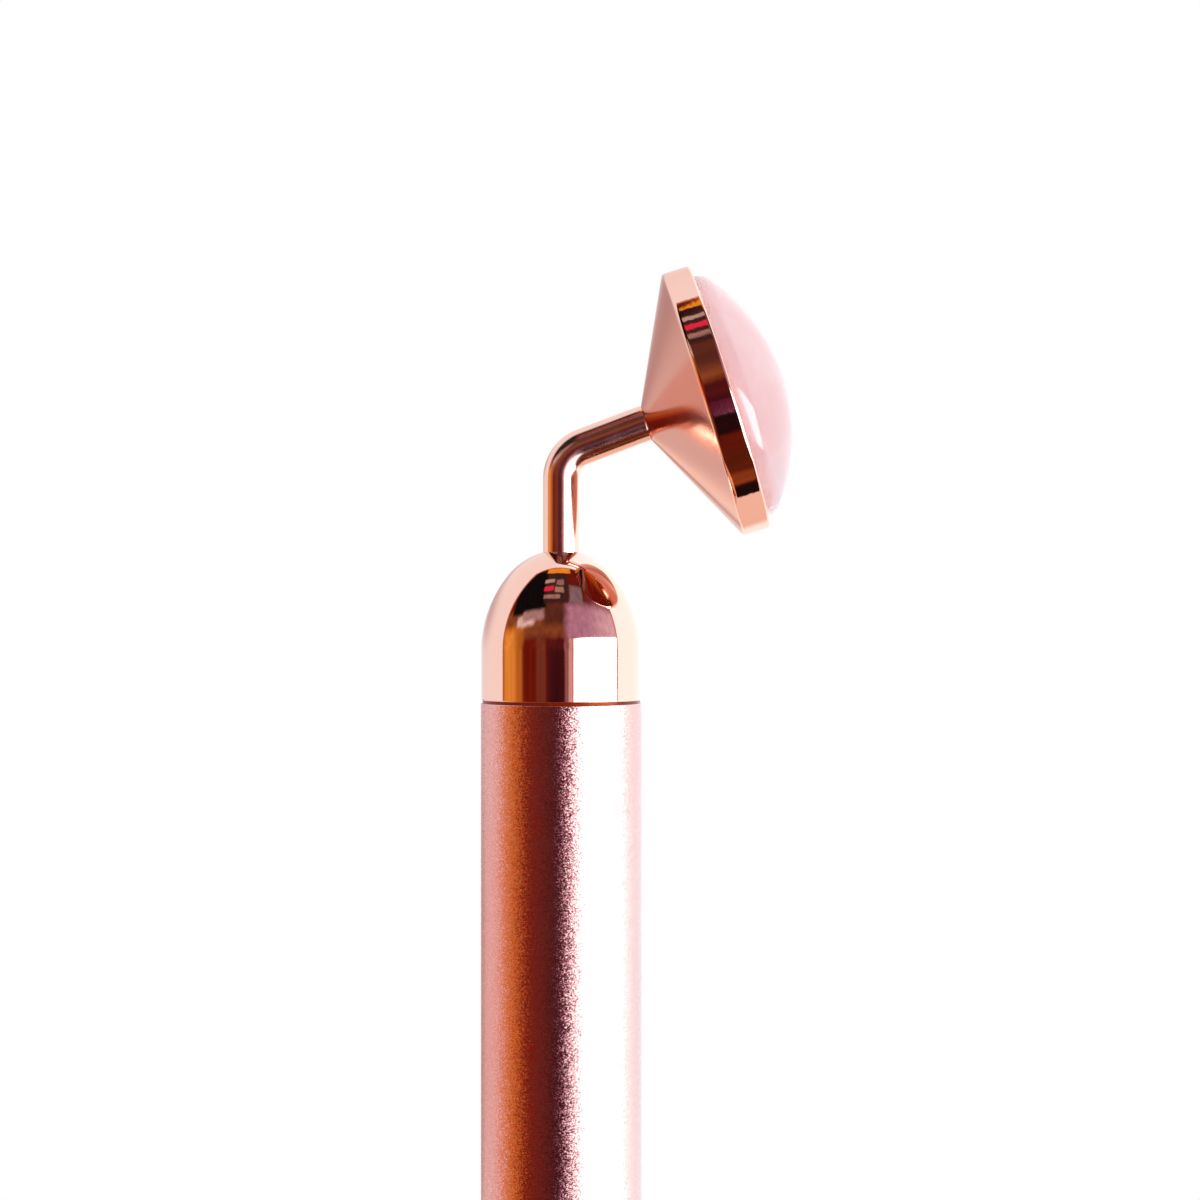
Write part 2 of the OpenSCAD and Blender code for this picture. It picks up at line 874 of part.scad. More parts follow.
module rotor_shaft() {
    color("silver")
        bar(shaft_r, low_bush_z + shaft_under, weight_top_z + shaft_over);
}

// A half disc beside a hub, so that it pulls the bar from side to side as it turns
module eccentric_weight() {
    color("darkgray")
        difference() {
            union() {
                bar(shaft_r + weight_hub, weight_z, weight_top_z);
                translate([0, 0, weight_z])
                    rotate([0, 0, 180])
                        rotate_extrude(angle = 180, $fn = fine)
                            square([weight_r, weight_h]);
            }
            bar(shaft_r + press_gap, weight_z - skin, weight_top_z + skin);
        }
}

// AA cell

// Half outline of what fills the cell, inside its can and above its grommet
module cell_inside() {
    core_r = cell_r - jacket_t - cell_wall;
    polygon([
        [0, crimp_h],
        [core_r, crimp_h],
        [core_r, cell_len - top_shoulder - cell_wall],
        [core_r - top_shoulder, cell_len - cell_wall],
        [0, cell_len - cell_wall]
    ]);
}

// Cathode ring and zinc paste, drawn as the one mass that they pack into
module cell_filling() {
    color("darkslategray")
        translate([0, 0, cell_z])
            rotate_extrude($fn = fine)
                cell_inside();
}

// The steel can and its button in one, rolled in below round the grommet
module cell_can() {
    can_r = cell_r - jacket_t;
    grommet_r = negative_d / 2 + grommet_w;
    color("silver")
        translate([0, 0, cell_z])
            rotate_extrude($fn = fine)
                difference() {
                    polygon([
                        [0, crimp_h],
                        [grommet_r, crimp_h],
                        [grommet_r, can_lift],
                        [can_r - foot_shoulder, can_lift],
                        [can_r, can_lift + foot_shoulder],
                        [can_r, cell_len - top_shoulder],
                        [can_r - top_shoulder, cell_len],
                        [button_r, cell_len],
                        [button_r, cell_len + button_h - button_edge],
                        [button_r - button_edge, cell_len + button_h],
                        [0, cell_len + button_h]
                    ]);
                    cell_inside();
                }
}

// A thin sleeve shrunk over the can and turned in at both ends
module cell_jacket() {
    can_r = cell_r - jacket_t;
    k = jacket_t * tan(22.5);
    lip_r = can_r - top_shoulder - jacket_lip;
    color("lightslategray")
        translate([0, 0, cell_z])
            rotate_extrude($fn = fine)
                polygon([
                    [can_r - foot_shoulder, can_lift],
                    [can_r - foot_shoulder + k, can_lift - jacket_t],
                    [cell_r, can_lift + foot_shoulder - k],
                    [cell_r, cell_len - top_shoulder + k],
                    [can_r - top_shoulder + k, cell_len + jacket_t],
                    [lip_r, cell_len + jacket_t],
                    [lip_r, cell_len],
                    [can_r - top_shoulder, cell_len],
                    [can_r, cell_len - top_shoulder],
                    [can_r, can_lift + foot_shoulder]
                ]);
}

module cell_grommet() {
    color("white")
        ring(
            negative_d / 2 + grommet_w,
            negative_d / 2,
            cell_z + plate_dish,
            cell_z + crimp_h
        );
}

// A dished plate: its middle stands lowest and meets the spring
module cell_negative_plate() {
    color("silver")
        translate([0, 0, cell_z])
            rotate_extrude($fn = fine)
                polygon([
                    [0, 0],
                    [negative_d / 2 - dish_rim - dish_run, 0],
                    [negative_d / 2 - dish_rim, plate_dish],
                    [negative_d / 2, plate_dish],
                    [negative_d / 2, crimp_h],
                    [0, crimp_h]
                ]);
}

// Tail

// Solid end, polished side, threaded spigot with a groove for the seal, and spring bay
module tail_cap() {
    groove_r = seal_r - seal_cord / 2 - fit_gap;
    groove_h = seal_cord + groove_play;
    color("burlywood")
        rotate_extrude($fn = fine)
            difference() {
                union() {
                    square([cap_r - tail_round, cap_len]);
                    translate([0, tail_round])
                        square([cap_r, cap_len - tail_round]);
                    translate([cap_r - tail_round, tail_round])
                        pie(tail_round, -90, 0);
                    polygon([
                        [0, cap_len],
                        [spigot_r, cap_len],
                        [spigot_r, spigot_z - spigot_chamfer],
                        [spigot_r - spigot_chamfer, spigot_z],
                        [0, spigot_z]
                    ]);
                }
                translate([0, tail_floor])
                    square([spring_bay_d / 2, spigot_z]);
                translate([groove_r, seal_z - groove_h / 2])
                    square([tube_r, groove_h]);
            }
}

module tail_seal() {
    color("black")
        translate([0, 0, seal_z])
            rotate_extrude($fn = fine)
                translate([seal_r, 0])
                    circle(d = seal_cord, $fn = fine);
}

// A pressed tray that the spring's wide end sits in
module spring_plate() {
    tray_r = spring_bay_d / 2 - tray_gap;
    color("silver")
        translate([0, 0, plate_z])
            rotate_extrude($fn = fine)
                polygon([
                    [0, tray_lift],
                    [tray_r, tray_lift],
                    [tray_r, plate_rim],
                    [tray_r - tray_t, plate_rim],
                    [tray_r - tray_t, plate_t],
                    [0, plate_t]
                ]);
}

// The spring's middle line: close turns at both ends, wider ones between them

function spring_height(turn) =
    turn < 1 ? spring_end_pitch * turn
    : turn > spring_turns - 1 ? spring_rise - spring_end_pitch * (spring_turns - turn)
    : spring_end_pitch + spring_pitch * (turn - 1);

function spring_reach(turn) =
    let (wide = (spring_base_d - spring_wire) / 2, narrow = (spring_tip_d - spring_wire) / 2)
    wide + (narrow - wide) * turn / spring_turns;

function spring_point(turn) = [
    spring_reach(turn) * cos(360 * turn),
    spring_reach(turn) * sin(360 * turn),
    spring_z + spring_height(turn)
];

function unit(v) = v / norm(v);

// One ring of points round the middle line, square to its run
function spring_ring(turn) =
    let (
        middle = spring_point(turn),
        ahead = unit(spring_point(turn + 0.01) - spring_point(turn - 0.01)),
        out = unit(cross(cross(ahead, [cos(360 * turn), sin(360 * turn), 0]), ahead)),
        up = cross(ahead, out)
    )
    [for (side = [0 : ring_sides - 1])
        let (angle = 360 * side / ring_sides)
        middle + spring_wire / 2 * (cos(angle) * out + sin(angle) * up)];

module contact_spring() {
    rings = spring_turns * rings_per_turn;
    points = [for (step = [0 : rings]) each spring_ring(step / rings_per_turn)];
    last = rings * ring_sides;
    skin_faces = [
        for (step = [0 : rings - 1], side = [0 : ring_sides - 1])
            let (
                a = step * ring_sides + side,
                b = step * ring_sides + (side + 1) % ring_sides,
                c = a + ring_sides,
                d = b + ring_sides
            )
            each [[a, b, d], [a, d, c]]
    ];
    foot_face = [for (side = [1 : ring_sides - 2]) [0, side + 1, side]];
    tip_face = [for (side = [1 : ring_sides - 2]) [last, last + side, last + side + 1]];
    color("silver")
        polyhedron(points, concat(skin_faces, foot_face, tip_face));
}

// Least distance between turns, measured on the middle line's points, less the wire
function spring_gap() =
    min([
        for (i = [0 : spring_turns * rings_per_turn - 6], j = [i + 6 : i + 10])
            if (j <= spring_turns * rings_per_turn)
                norm(spring_point(i / rings_per_turn) - spring_point(j / rings_per_turn))
    ]) - spring_wire;

echo(spring_least_gap = spring_gap());

quartz_dome();
stone_adhesive();
head_cup();
neck_rod();
neck_washer();
neck_nut();
dome_cap();
seam_gasket();
handle_tube();
motor_carrier();
positive_contact();
earth_leaf();
positive_lead();
negative_lead();
motor_can();
motor_magnets();
motor_end_cap();
upper_bush();
lower_bush();
motor_brushes();
motor_terminals();
rotor_core();
rotor_windings();
commutator();
commutator_sleeve();
rotor_shaft();
eccentric_weight();
cell_can();
cell_filling();
cell_jacket();
cell_grommet();
cell_negative_plate();
tail_cap();
tail_seal();
spring_plate();
contact_spring();
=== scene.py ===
import math

import bmesh
import bpy
from mathutils import Matrix, Vector


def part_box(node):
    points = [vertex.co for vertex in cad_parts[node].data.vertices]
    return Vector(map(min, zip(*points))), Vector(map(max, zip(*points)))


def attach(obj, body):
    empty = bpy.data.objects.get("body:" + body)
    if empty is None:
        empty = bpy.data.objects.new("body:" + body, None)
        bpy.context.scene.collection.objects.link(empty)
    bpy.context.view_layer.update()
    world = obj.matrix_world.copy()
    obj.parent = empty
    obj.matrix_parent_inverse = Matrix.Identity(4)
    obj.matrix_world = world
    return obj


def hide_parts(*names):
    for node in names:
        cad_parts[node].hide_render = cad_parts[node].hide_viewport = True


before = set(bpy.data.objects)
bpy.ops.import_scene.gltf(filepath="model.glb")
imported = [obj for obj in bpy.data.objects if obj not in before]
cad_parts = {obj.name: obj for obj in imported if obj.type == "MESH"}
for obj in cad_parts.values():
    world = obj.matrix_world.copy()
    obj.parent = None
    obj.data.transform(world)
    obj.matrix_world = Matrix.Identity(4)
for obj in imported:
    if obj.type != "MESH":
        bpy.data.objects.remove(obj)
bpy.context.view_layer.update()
mm = 0.001
print("frame loaded:", len(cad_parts), "nodes")


# Shaping tools

def startVert(bm, x, z):
    return bm.verts.new((x, 0, z))


def lineTo(bm, vert, x, z):
    new = bmesh.ops.extrude_vert_indiv(bm, verts=[vert])["verts"][0]
    new.co = (x, 0, z)
    return new


def arcTo(bm, vert, cx, cz, degrees, steps):
    # a positive angle turns from +X towards +Z in the half plane of the profile
    made = bmesh.ops.spin(bm, geom=[vert], cent=(cx, 0, cz), axis=(0, 1, 0), dvec=(0, 0, 0),
                          angle=-math.radians(degrees), steps=steps, use_merge=False)
    return [g for g in made["geom_last"] if isinstance(g, bmesh.types.BMVert)][0]


def turnOnLathe(bm, steps):
    bmesh.ops.spin(bm, geom=bm.verts[:] + bm.edges[:], cent=(0, 0, 0), axis=(0, 0, 1),
                   dvec=(0, 0, 0), angle=math.tau, steps=steps, use_merge=True)
    bmesh.ops.remove_doubles(bm, verts=bm.verts[:], dist=1e-7)


def closedLoop(bm, first, last):
    bm.edges.new((last, first))


def ringsNear(bm, x, z, reach):
    # the round edges that the profile's corner at x, z has become
    found = []
    for edge in bm.edges:
        ok = True
        for v in edge.verts:
            r = math.hypot(v.co.x, v.co.y)
            ok = ok and abs(r - x) < reach and abs(v.co.z - z) < reach
        if ok:
            found.append(edge)
    return found


def softenRings(bm, corners, width, segments):
    edges = []
    for x, z in corners:
        edges += ringsNear(bm, x, z, 0.02 * mm)
    bmesh.ops.bevel(bm, geom=edges, offset=width, offset_type="OFFSET", segments=segments,
                    profile=0.5, affect="EDGES", clamp_overlap=True, material=-1)


def makePiece(name, bm, place=None, creaseAngle=35):
    bmesh.ops.recalc_face_normals(bm, faces=bm.faces[:])
    if place is not None:
        bmesh.ops.transform(bm, matrix=place, verts=bm.verts[:])
    for face in bm.faces:
        face.smooth = True
    for edge in bm.edges:
        if len(edge.link_faces) == 2:
            edge.smooth = edge.calc_face_angle() < math.radians(creaseAngle)
    mesh = bpy.data.meshes.new(name)
    bm.to_mesh(mesh)
    bm.free()
    piece = bpy.data.objects.new(name, mesh)
    bpy.context.scene.collection.objects.link(piece)
    # wide faces keep their own normal, so a flat band mirrors as a flat one
    steady = piece.modifiers.new("steadyNormals", "WEIGHTED_NORMAL")
    steady.keep_sharp = True
    return piece


# Material tools

def newNode(tree, kind, **settings):
    node = tree.nodes.new(kind)
    for key, value in settings.items():
        setattr(node, key, value)
    return node


def newMaterial(name):
    mat = bpy.data.materials.new(name)
    mat.use_nodes = True
    tree = mat.node_tree
    tree.nodes.clear()
    out = newNode(tree, "ShaderNodeOutputMaterial")
    shader = newNode(tree, "ShaderNodeBsdfPrincipled")
    tree.links.new(shader.outputs["BSDF"], out.inputs["Surface"])
    coords = newNode(tree, "ShaderNodeTexCoord")
    return mat, tree, shader, coords.outputs["Object"]


def noise(tree, vector, scale, detail=4.0, rough=0.55):
    node = newNode(tree, "ShaderNodeTexNoise")
    node.inputs["Scale"].default_value = scale
    node.inputs["Detail"].default_value = detail
    node.inputs["Roughness"].default_value = rough
    tree.links.new(vector, node.inputs["Vector"])
    return node.outputs["Fac"]


def spread(tree, value, low, high, fromLow=0.0, fromHigh=1.0):
    node = newNode(tree, "ShaderNodeMapRange")
    node.inputs["From Min"].default_value = fromLow
    node.inputs["From Max"].default_value = fromHigh
    node.inputs["To Min"].default_value = low
    node.inputs["To Max"].default_value = high
    tree.links.new(value, node.inputs["Value"])
    return node.outputs["Result"]


def blendColours(tree, factor, one, two):
    node = newNode(tree, "ShaderNodeMix", data_type="RGBA")
    tree.links.new(factor, node.inputs["Factor"])
    for socket, colour in ((node.inputs[6], one), (node.inputs[7], two)):
        if isinstance(colour, tuple):
            socket.default_value = (*colour, 1)
        else:
            tree.links.new(colour, socket)
    return node.outputs[2]


def calc(tree, operation, one, two):
    node = newNode(tree, "ShaderNodeMath", operation=operation)
    for socket, value in zip(node.inputs, (one, two)):
        if isinstance(value, (int, float)):
            socket.default_value = value
        else:
            tree.links.new(value, socket)
    return node.outputs[0]


def bump(tree, height, strength, distance, under=None):
    node = newNode(tree, "ShaderNodeBump")
    node.inputs["Strength"].default_value = strength
    node.inputs["Distance"].default_value = distance
    tree.links.new(height, node.inputs["Height"])
    if under is not None:
        tree.links.new(under, node.inputs["Normal"])
    return node.outputs["Normal"]


# Materials

satinGold = {
    "tone": (0.84, 0.52, 0.49),
    "toneDeep": (0.76, 0.43, 0.40),
    "cloudScale": 90,
    "roughness": (0.16, 0.21),
    "glossScale": 900,
    "flake": 0.09 * mm,  # size of one dent of the blasting
    "flakeTilt": 0.24,
    "flakeShade": 0.7,  # how much of the shade comes from the dent itself
}


def satinRoseGold():
    # bead-blasted and plated: each tiny dent has a tilt and a shade of its own and sparkles
    # where the light falls off
    mat, tree, shader, place = newMaterial("satinRoseGold")
    dents = newNode(tree, "ShaderNodeTexVoronoi")
    dents.inputs["Scale"].default_value = 1 / satinGold["flake"]
    tree.links.new(place, dents.inputs["Vector"])
    parts = newNode(tree, "ShaderNodeSeparateColor")
    tree.links.new(dents.outputs["Color"], parts.inputs[0])
    cloud = noise(tree, place, satinGold["cloudScale"], 3)
    mixed = calc(tree, "ADD", calc(tree, "MULTIPLY", parts.outputs[0], satinGold["flakeShade"]),
                 calc(tree, "SUBTRACT", calc(tree, "MULTIPLY", cloud, 0.6), 0.15))
    tree.links.new(blendColours(tree, mixed, satinGold["toneDeep"], satinGold["tone"]),
                   shader.inputs["Base Color"])
    low, high = satinGold["roughness"]
    tree.links.new(spread(tree, noise(tree, place, satinGold["glossScale"], 5),
                          low, high, 0.3, 0.7), shader.inputs["Roughness"])
    middle = newNode(tree, "ShaderNodeVectorMath", operation="SUBTRACT")
    tree.links.new(dents.outputs["Color"], middle.inputs[0])
    middle.inputs[1].default_value = (0.5, 0.5, 0.5)
    tilt = newNode(tree, "ShaderNodeVectorMath", operation="MULTIPLY_ADD")
    tree.links.new(middle.outputs[0], tilt.inputs[0])
    tilt.inputs[1].default_value = (satinGold["flakeTilt"],) * 3
    tree.links.new(newNode(tree, "ShaderNodeNewGeometry").outputs["Normal"], tilt.inputs[2])
    unit = newNode(tree, "ShaderNodeVectorMath", operation="NORMALIZE")
    tree.links.new(tilt.outputs[0], unit.inputs[0])
    tree.links.new(unit.outputs[0], shader.inputs["Normal"])
    shader.inputs["Metallic"].default_value = 1.0
    return mat


polishedGold = {
    "tone": (0.95, 0.65, 0.55),
    "toneDeep": (0.93, 0.61, 0.50),
    "roughness": (0.02, 0.06),
    "cloudScale": 140,
    "glossScale": 420,
    "waveScale": 160,
    "waveDepth": 0.25 * mm,
    "wave": 0.06,
    "buffScale": 5200,
    "buffDepth": 0.02 * mm,
    "buff": 0.02,
    "neckRoughness": (0.15, 0.21),
    "neckWave": 0.01,
}


def polishedRoseGold(name, gloss, wavy):
    mat, tree, shader, place = newMaterial(name)
    cloud = noise(tree, place, polishedGold["cloudScale"], 3)
    tree.links.new(blendColours(tree, cloud, polishedGold["toneDeep"], polishedGold["tone"]),
                   shader.inputs["Base Color"])
    low, high = gloss
    tree.links.new(spread(tree, noise(tree, place, polishedGold["glossScale"], 6),
                          low, high, 0.35, 0.7), shader.inputs["Roughness"])
    # the buffing leaves a faint waviness that bends reflections a little
    wave = bump(tree, noise(tree, place, polishedGold["waveScale"], 1), wavy,
                polishedGold["waveDepth"])
    tree.links.new(bump(tree, noise(tree, place, polishedGold["buffScale"], 2),
                        polishedGold["buff"], polishedGold["buffDepth"], wave),
                   shader.inputs["Normal"])
    shader.inputs["Metallic"].default_value = 1.0
    return mat


quartz = {
    "tone": (0.91, 0.58, 0.605),
    "pale": (0.95, 0.69, 0.70),
    "deep": (0.88, 0.51, 0.54),
    "cloudScale": 75,
    "veilScale": 38,
    "veilTwist": 11,
    "roughness": (0.05, 0.10),
    "glossScale": 700,
    "ior": 1.54,
    "milk": 0.45,  # share of the light that goes into the stone
    "depth": (2.6 * mm, 1.5 * mm, 1.4 * mm),
}


def roseQuartz():
    # milky pink stone: soft clouds and a few faint veils under a polished face
    mat, tree, shader, place = newMaterial("roseQuartz")
    clouds = spread(tree, noise(tree, place, quartz["cloudScale"], 5, 0.6), 0, 1, 0.3, 0.72)
    base = blendColours(tree, clouds, quartz["deep"], quartz["tone"])
    veil = newNode(tree, "ShaderNodeTexWave", wave_type="BANDS", bands_direction="DIAGONAL")
    veil.inputs["Scale"].default_value = quartz["veilScale"]
    veil.inputs["Distortion"].default_value = quartz["veilTwist"]
    veil.inputs["Detail"].default_value = 5
    veil.inputs["Detail Scale"].default_value = 2.2
    tree.links.new(place, veil.inputs["Vector"])
    veilMask = spread(tree, veil.outputs["Fac"], 0, 0.35, 0.6, 1.0)
    tree.links.new(blendColours(tree, veilMask, base, quartz["pale"]), shader.inputs["Base Color"])
    low, high = quartz["roughness"]
    tree.links.new(spread(tree, noise(tree, place, quartz["glossScale"], 4),
                          low, high, 0.3, 0.7), shader.inputs["Roughness"])
    shader.inputs["IOR"].default_value = quartz["ior"]
    shader.inputs["Subsurface Weight"].default_value = quartz["milk"]
    shader.inputs["Subsurface Radius"].default_value = quartz["depth"]
    shader.inputs["Subsurface Scale"].default_value = 1.0
    tree.links.new(bump(tree, noise(tree, place, 300, 3), 0.015, 0.1 * mm),
                   shader.inputs["Normal"])
    return mat


def plainFinish(name, tone, toneDeep, roughness, metallic, scale, depth, gloss=(1, 1, 1)):
    # colour, gloss and surface all vary a little, at the scale that the finish has
    mat, tree, shader, place = newMaterial(name)
    cloud = spread(tree, noise(tree, place, scale, 4), 0, 1, 0.3, 0.7)
    tree.links.new(blendColours(tree, cloud, toneDeep, tone), shader.inputs["Base Color"])
    low, high = roughness
    tree.links.new(spread(tree, noise(tree, place, scale * 6, 4), low, high, 0.3, 0.7),
                   shader.inputs["Roughness"])
    tree.links.new(bump(tree, noise(tree, place, scale * 10, 3), depth, 0.05 * mm),
                   shader.inputs["Normal"])
    shader.inputs["Metallic"].default_value = metallic
    shader.inputs["Specular Tint"].default_value = (*gloss, 1)
    return mat


# tone, deeper tone, roughness from and to, metallic, pattern scale, bump, tint of the gloss
finishes = {
    "platedSteel": ((0.74, 0.74, 0.75), (0.64, 0.64, 0.66), (0.18, 0.34), 1.0, 300, 0.08),
    "springSteel": ((0.72, 0.72, 0.74), (0.60, 0.60, 0.63), (0.14, 0.28), 1.0, 500, 0.06),
    "contactBrass": ((0.90, 0.68, 0.32), (0.80, 0.55, 0.22), (0.16, 0.34), 1.0, 400, 0.08),
    "copperWire": ((0.86, 0.42, 0.24), (0.70, 0.30, 0.16), (0.20, 0.38), 1.0, 900, 0.30),
    "bronzeBush": ((0.55, 0.36, 0.18), (0.42, 0.26, 0.12), (0.40, 0.60), 1.0, 1500, 0.35),
    "laminations": ((0.34, 0.35, 0.37), (0.24, 0.25, 0.27), (0.35, 0.55), 1.0, 700, 0.25),
    "heavyWeight": ((0.46, 0.46, 0.47), (0.36, 0.36, 0.37), (0.35, 0.55), 1.0, 600, 0.30),
    "ferrite": ((0.07, 0.07, 0.08), (0.04, 0.04, 0.045), (0.55, 0.75), 0.0, 700, 0.40),
    "carrierPlastic": ((0.86, 0.83, 0.75), (0.80, 0.77, 0.69), (0.42, 0.58), 0.0, 260, 0.15),
    "nylon": ((0.88, 0.88, 0.85), (0.82, 0.82, 0.78), (0.35, 0.50), 0.0, 320, 0.12),
    "redLead": ((0.62, 0.03, 0.03), (0.50, 0.02, 0.02), (0.30, 0.42), 0.0, 600, 0.10),
    "blackLead": ((0.03, 0.03, 0.03), (0.018, 0.018, 0.018), (0.30, 0.42), 0.0, 600, 0.10),
    "sealRubber": ((0.035, 0.035, 0.035), (0.022, 0.022, 0.022), (0.45, 0.62), 0.0, 900, 0.15),
    "gasketRubber": ((0.24, 0.016, 0.006), (0.17, 0.010, 0.004), (0.20, 0.30), 0.0, 900, 0.10,
                     (0.9, 0.30, 0.12)),
    "adhesive": ((0.86, 0.84, 0.80), (0.80, 0.78, 0.73), (0.20, 0.35), 0.0, 500, 0.20),
    "cellMass": ((0.05, 0.05, 0.055), (0.03, 0.03, 0.033), (0.60, 0.80), 0.0, 800, 0.30),
    "cellSleeve": ((0.14, 0.16, 0.20), (0.10, 0.12, 0.15), (0.10, 0.20), 0.0, 200, 0.05),
}
surface = {name: plainFinish(name, *values) for name, values in finishes.items()}
surface["satinRoseGold"] = satinRoseGold()
surface["polishedRoseGold"] = polishedRoseGold("polishedRoseGold", polishedGold["roughness"],
                                               polishedGold["wave"])
surface["neckRoseGold"] = polishedRoseGold("neckRoseGold", polishedGold["neckRoughness"],
                                           polishedGold["neckWave"])
surface["roseQuartz"] = roseQuartz()

nodeFinish = {
    "quartz_dome": "roseQuartz", "stone_adhesive": "adhesive", "head_cup": "polishedRoseGold",
    "neck_rod": "neckRoseGold", "neck_washer": "platedSteel", "neck_nut": "platedSteel",
    "dome_cap": "polishedRoseGold", "seam_gasket": "gasketRubber",
    "handle_tube": "satinRoseGold", "motor_carrier": "carrierPlastic",
    "positive_contact": "contactBrass", "earth_leaf": "contactBrass",
    "positive_lead": "redLead", "negative_lead": "blackLead", "motor_can": "platedSteel",
    "motor_magnets": "ferrite", "motor_end_cap": "nylon", "upper_bush": "bronzeBush",
    "lower_bush": "bronzeBush", "motor_brushes": "contactBrass",
    "motor_terminals": "contactBrass", "rotor_core": "laminations",
    "rotor_windings": "copperWire", "commutator": "copperWire", "commutator_sleeve": "nylon",
    "rotor_shaft": "platedSteel", "eccentric_weight": "heavyWeight", "cell_can": "platedSteel",
    "cell_filling": "cellMass", "cell_jacket": "cellSleeve", "cell_grommet": "nylon",
    "cell_negative_plate": "platedSteel", "tail_cap": "polishedRoseGold",
    "tail_seal": "sealRubber", "spring_plate": "platedSteel", "contact_spring": "springSteel",
}


def dress(piece, finish):
    piece.data.materials.clear()
    piece.data.materials.append(surface[finish])


for nodeName, finish in nodeFinish.items():
    dress(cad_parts[nodeName], finish)
print("materials on", len(nodeFinish), "nodes")


# Sizes that the pieces share, read from the frame where a node gives them

tubeLow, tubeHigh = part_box("handle_tube")
capLow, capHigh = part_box("dome_cap")
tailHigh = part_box("tail_cap")[1]
tubeR = tubeHigh.y
capR = capHigh.y
seamZ = tubeHigh.z
latheSteps = 192

# Handle tube

handle = {
    "wall": 0.7 * mm,
    "chamfer": 0.06 * mm,
    "edge": 0.02 * mm,
}


def handleBarrel():
    bm = bmesh.new()
    c = handle["chamfer"]
    boreR = tubeR - handle["wall"]
    first = startVert(bm, boreR, tubeLow.z)
    v = lineTo(bm, first, tubeR - c, tubeLow.z)
    v = lineTo(bm, v, tubeR, tubeLow.z + c)
    v = lineTo(bm, v, tubeR, tubeHigh.z - c)
    v = lineTo(bm, v, tubeR - c, tubeHigh.z)
    v = lineTo(bm, v, boreR, tubeHigh.z)
    closedLoop(bm, first, v)
    turnOnLathe(bm, latheSteps)
    softenRings(bm, [(tubeR, tubeLow.z + c), (tubeR, tubeHigh.z - c)], handle["edge"], 2)
    piece = makePiece("handleBarrel", bm)
    dress(piece, "satinRoseGold")
    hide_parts("handle_tube")
    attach(piece, "handle")
    return piece


# Domed cap

dome = {
    "crownR": 7.0 * mm,
    "height": 15.45 * mm,
    "straight": 5.4 * mm,
    "wall": 0.9 * mm,
    "crownWall": 2.4 * mm,
    "skirtWall": 0.8 * mm,
    "footHole": 1.54 * mm,
    "skirtR": 7.51 * mm,
    "edge": 0.12 * mm,
}
neckR = 1.875 * mm


def domeArcs():
    # crown centre height above the seam, side arc radius and the angle where they meet
    crownC = dome["height"] - math.sqrt(dome["crownR"] ** 2 - neckR ** 2)
    rise = crownC - dome["straight"]
    sideR = (capR ** 2 + rise ** 2 - dome["crownR"] ** 2) / (2 * (capR - dome["crownR"]))
    meet = math.degrees(math.atan2(rise, sideR - capR))
    return crownC, sideR, meet


def domeShell():
    bm = bmesh.new()
    crownC, sideR, meet = domeArcs()
    foot = capLow.z
    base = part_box("seam_gasket")[1].z
    topZ = seamZ + dome["height"]
    skirtBore = dome["skirtR"] - dome["skirtWall"]
    innerCap = capR - dome["wall"]
    innerCrown = dome["crownR"] - dome["wall"]
    ceiling = topZ - dome["crownWall"]
    first = startVert(bm, dome["footHole"], topZ)
    v = lineTo(bm, first, neckR, topZ)
    top = math.degrees(math.atan2(math.sqrt(dome["crownR"] ** 2 - neckR ** 2), neckR))
    v = arcTo(bm, v, 0, seamZ + crownC, meet - top, 40)
    v = arcTo(bm, v, capR - sideR, seamZ + dome["straight"], -meet, 30)
    v = lineTo(bm, v, capR, base)
    v = lineTo(bm, v, dome["skirtR"], base)
    v = lineTo(bm, v, dome["skirtR"], foot)
    v = lineTo(bm, v, skirtBore, foot)
    v = lineTo(bm, v, skirtBore, base)
    v = lineTo(bm, v, innerCap, base)
    v = lineTo(bm, v, innerCap, seamZ + dome["straight"])
    v = arcTo(bm, v, capR - sideR, seamZ + dome["straight"], meet, 16)
    flat = math.degrees(math.asin((ceiling - seamZ - crownC) / innerCrown))
    v = arcTo(bm, v, 0, seamZ + crownC, flat - meet, 16)
    v = lineTo(bm, v, dome["footHole"], ceiling)
    closedLoop(bm, first, v)
    turnOnLathe(bm, latheSteps)
    softenRings(bm, [(capR, base)], dome["edge"], 6)
    piece = makePiece("domeShell", bm)
    dress(piece, "polishedRoseGold")
    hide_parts("dome_cap")
    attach(piece, "handle")
    return piece


# Neck

neck = {
    "footR": 1.5 * mm,
    "bendRise": 23.0 * mm,
    "bendR": 3.5 * mm,
    "lift": 20.7,
    "run": 5.5 * mm,
    "easeR": 25.0 * mm,
    "tenonR": 1.25 * mm,
    "tenonLen": 4.0 * mm,
    "edge": 0.08 * mm,
    "sides": 72,
}
headLift = 17.5


def headJoint():
    lift = math.radians(neck["lift"])
    tilt = math.radians(headLift)
    x = neck["bendR"] * (1 - math.sin(lift)) + neck["run"] * math.cos(lift)
    z = seamZ + neck["bendRise"] + neck["bendR"] * math.cos(lift) + neck["run"] * math.sin(lift)
    x += neck["easeR"] * (math.sin(lift) - math.sin(tilt))
    z += neck["easeR"] * (math.cos(tilt) - math.cos(lift))
    return Vector((x, 0, z))


def onHead():
    return Matrix.Translation(headJoint()) @ Matrix.Rotation(math.radians(90 - headLift), 4, "Y")


def edgesOf(geom):
    return [g for g in geom if isinstance(g, bmesh.types.BMEdge)]


def vertsOf(geom):
    return [g for g in geom if isinstance(g, bmesh.types.BMVert)]


def pushRing(bm, ring, step):
    made = bmesh.ops.extrude_edge_only(bm, edges=ring)["geom"]
    bmesh.ops.translate(bm, vec=step, verts=vertsOf(made))
    return edgesOf(made)


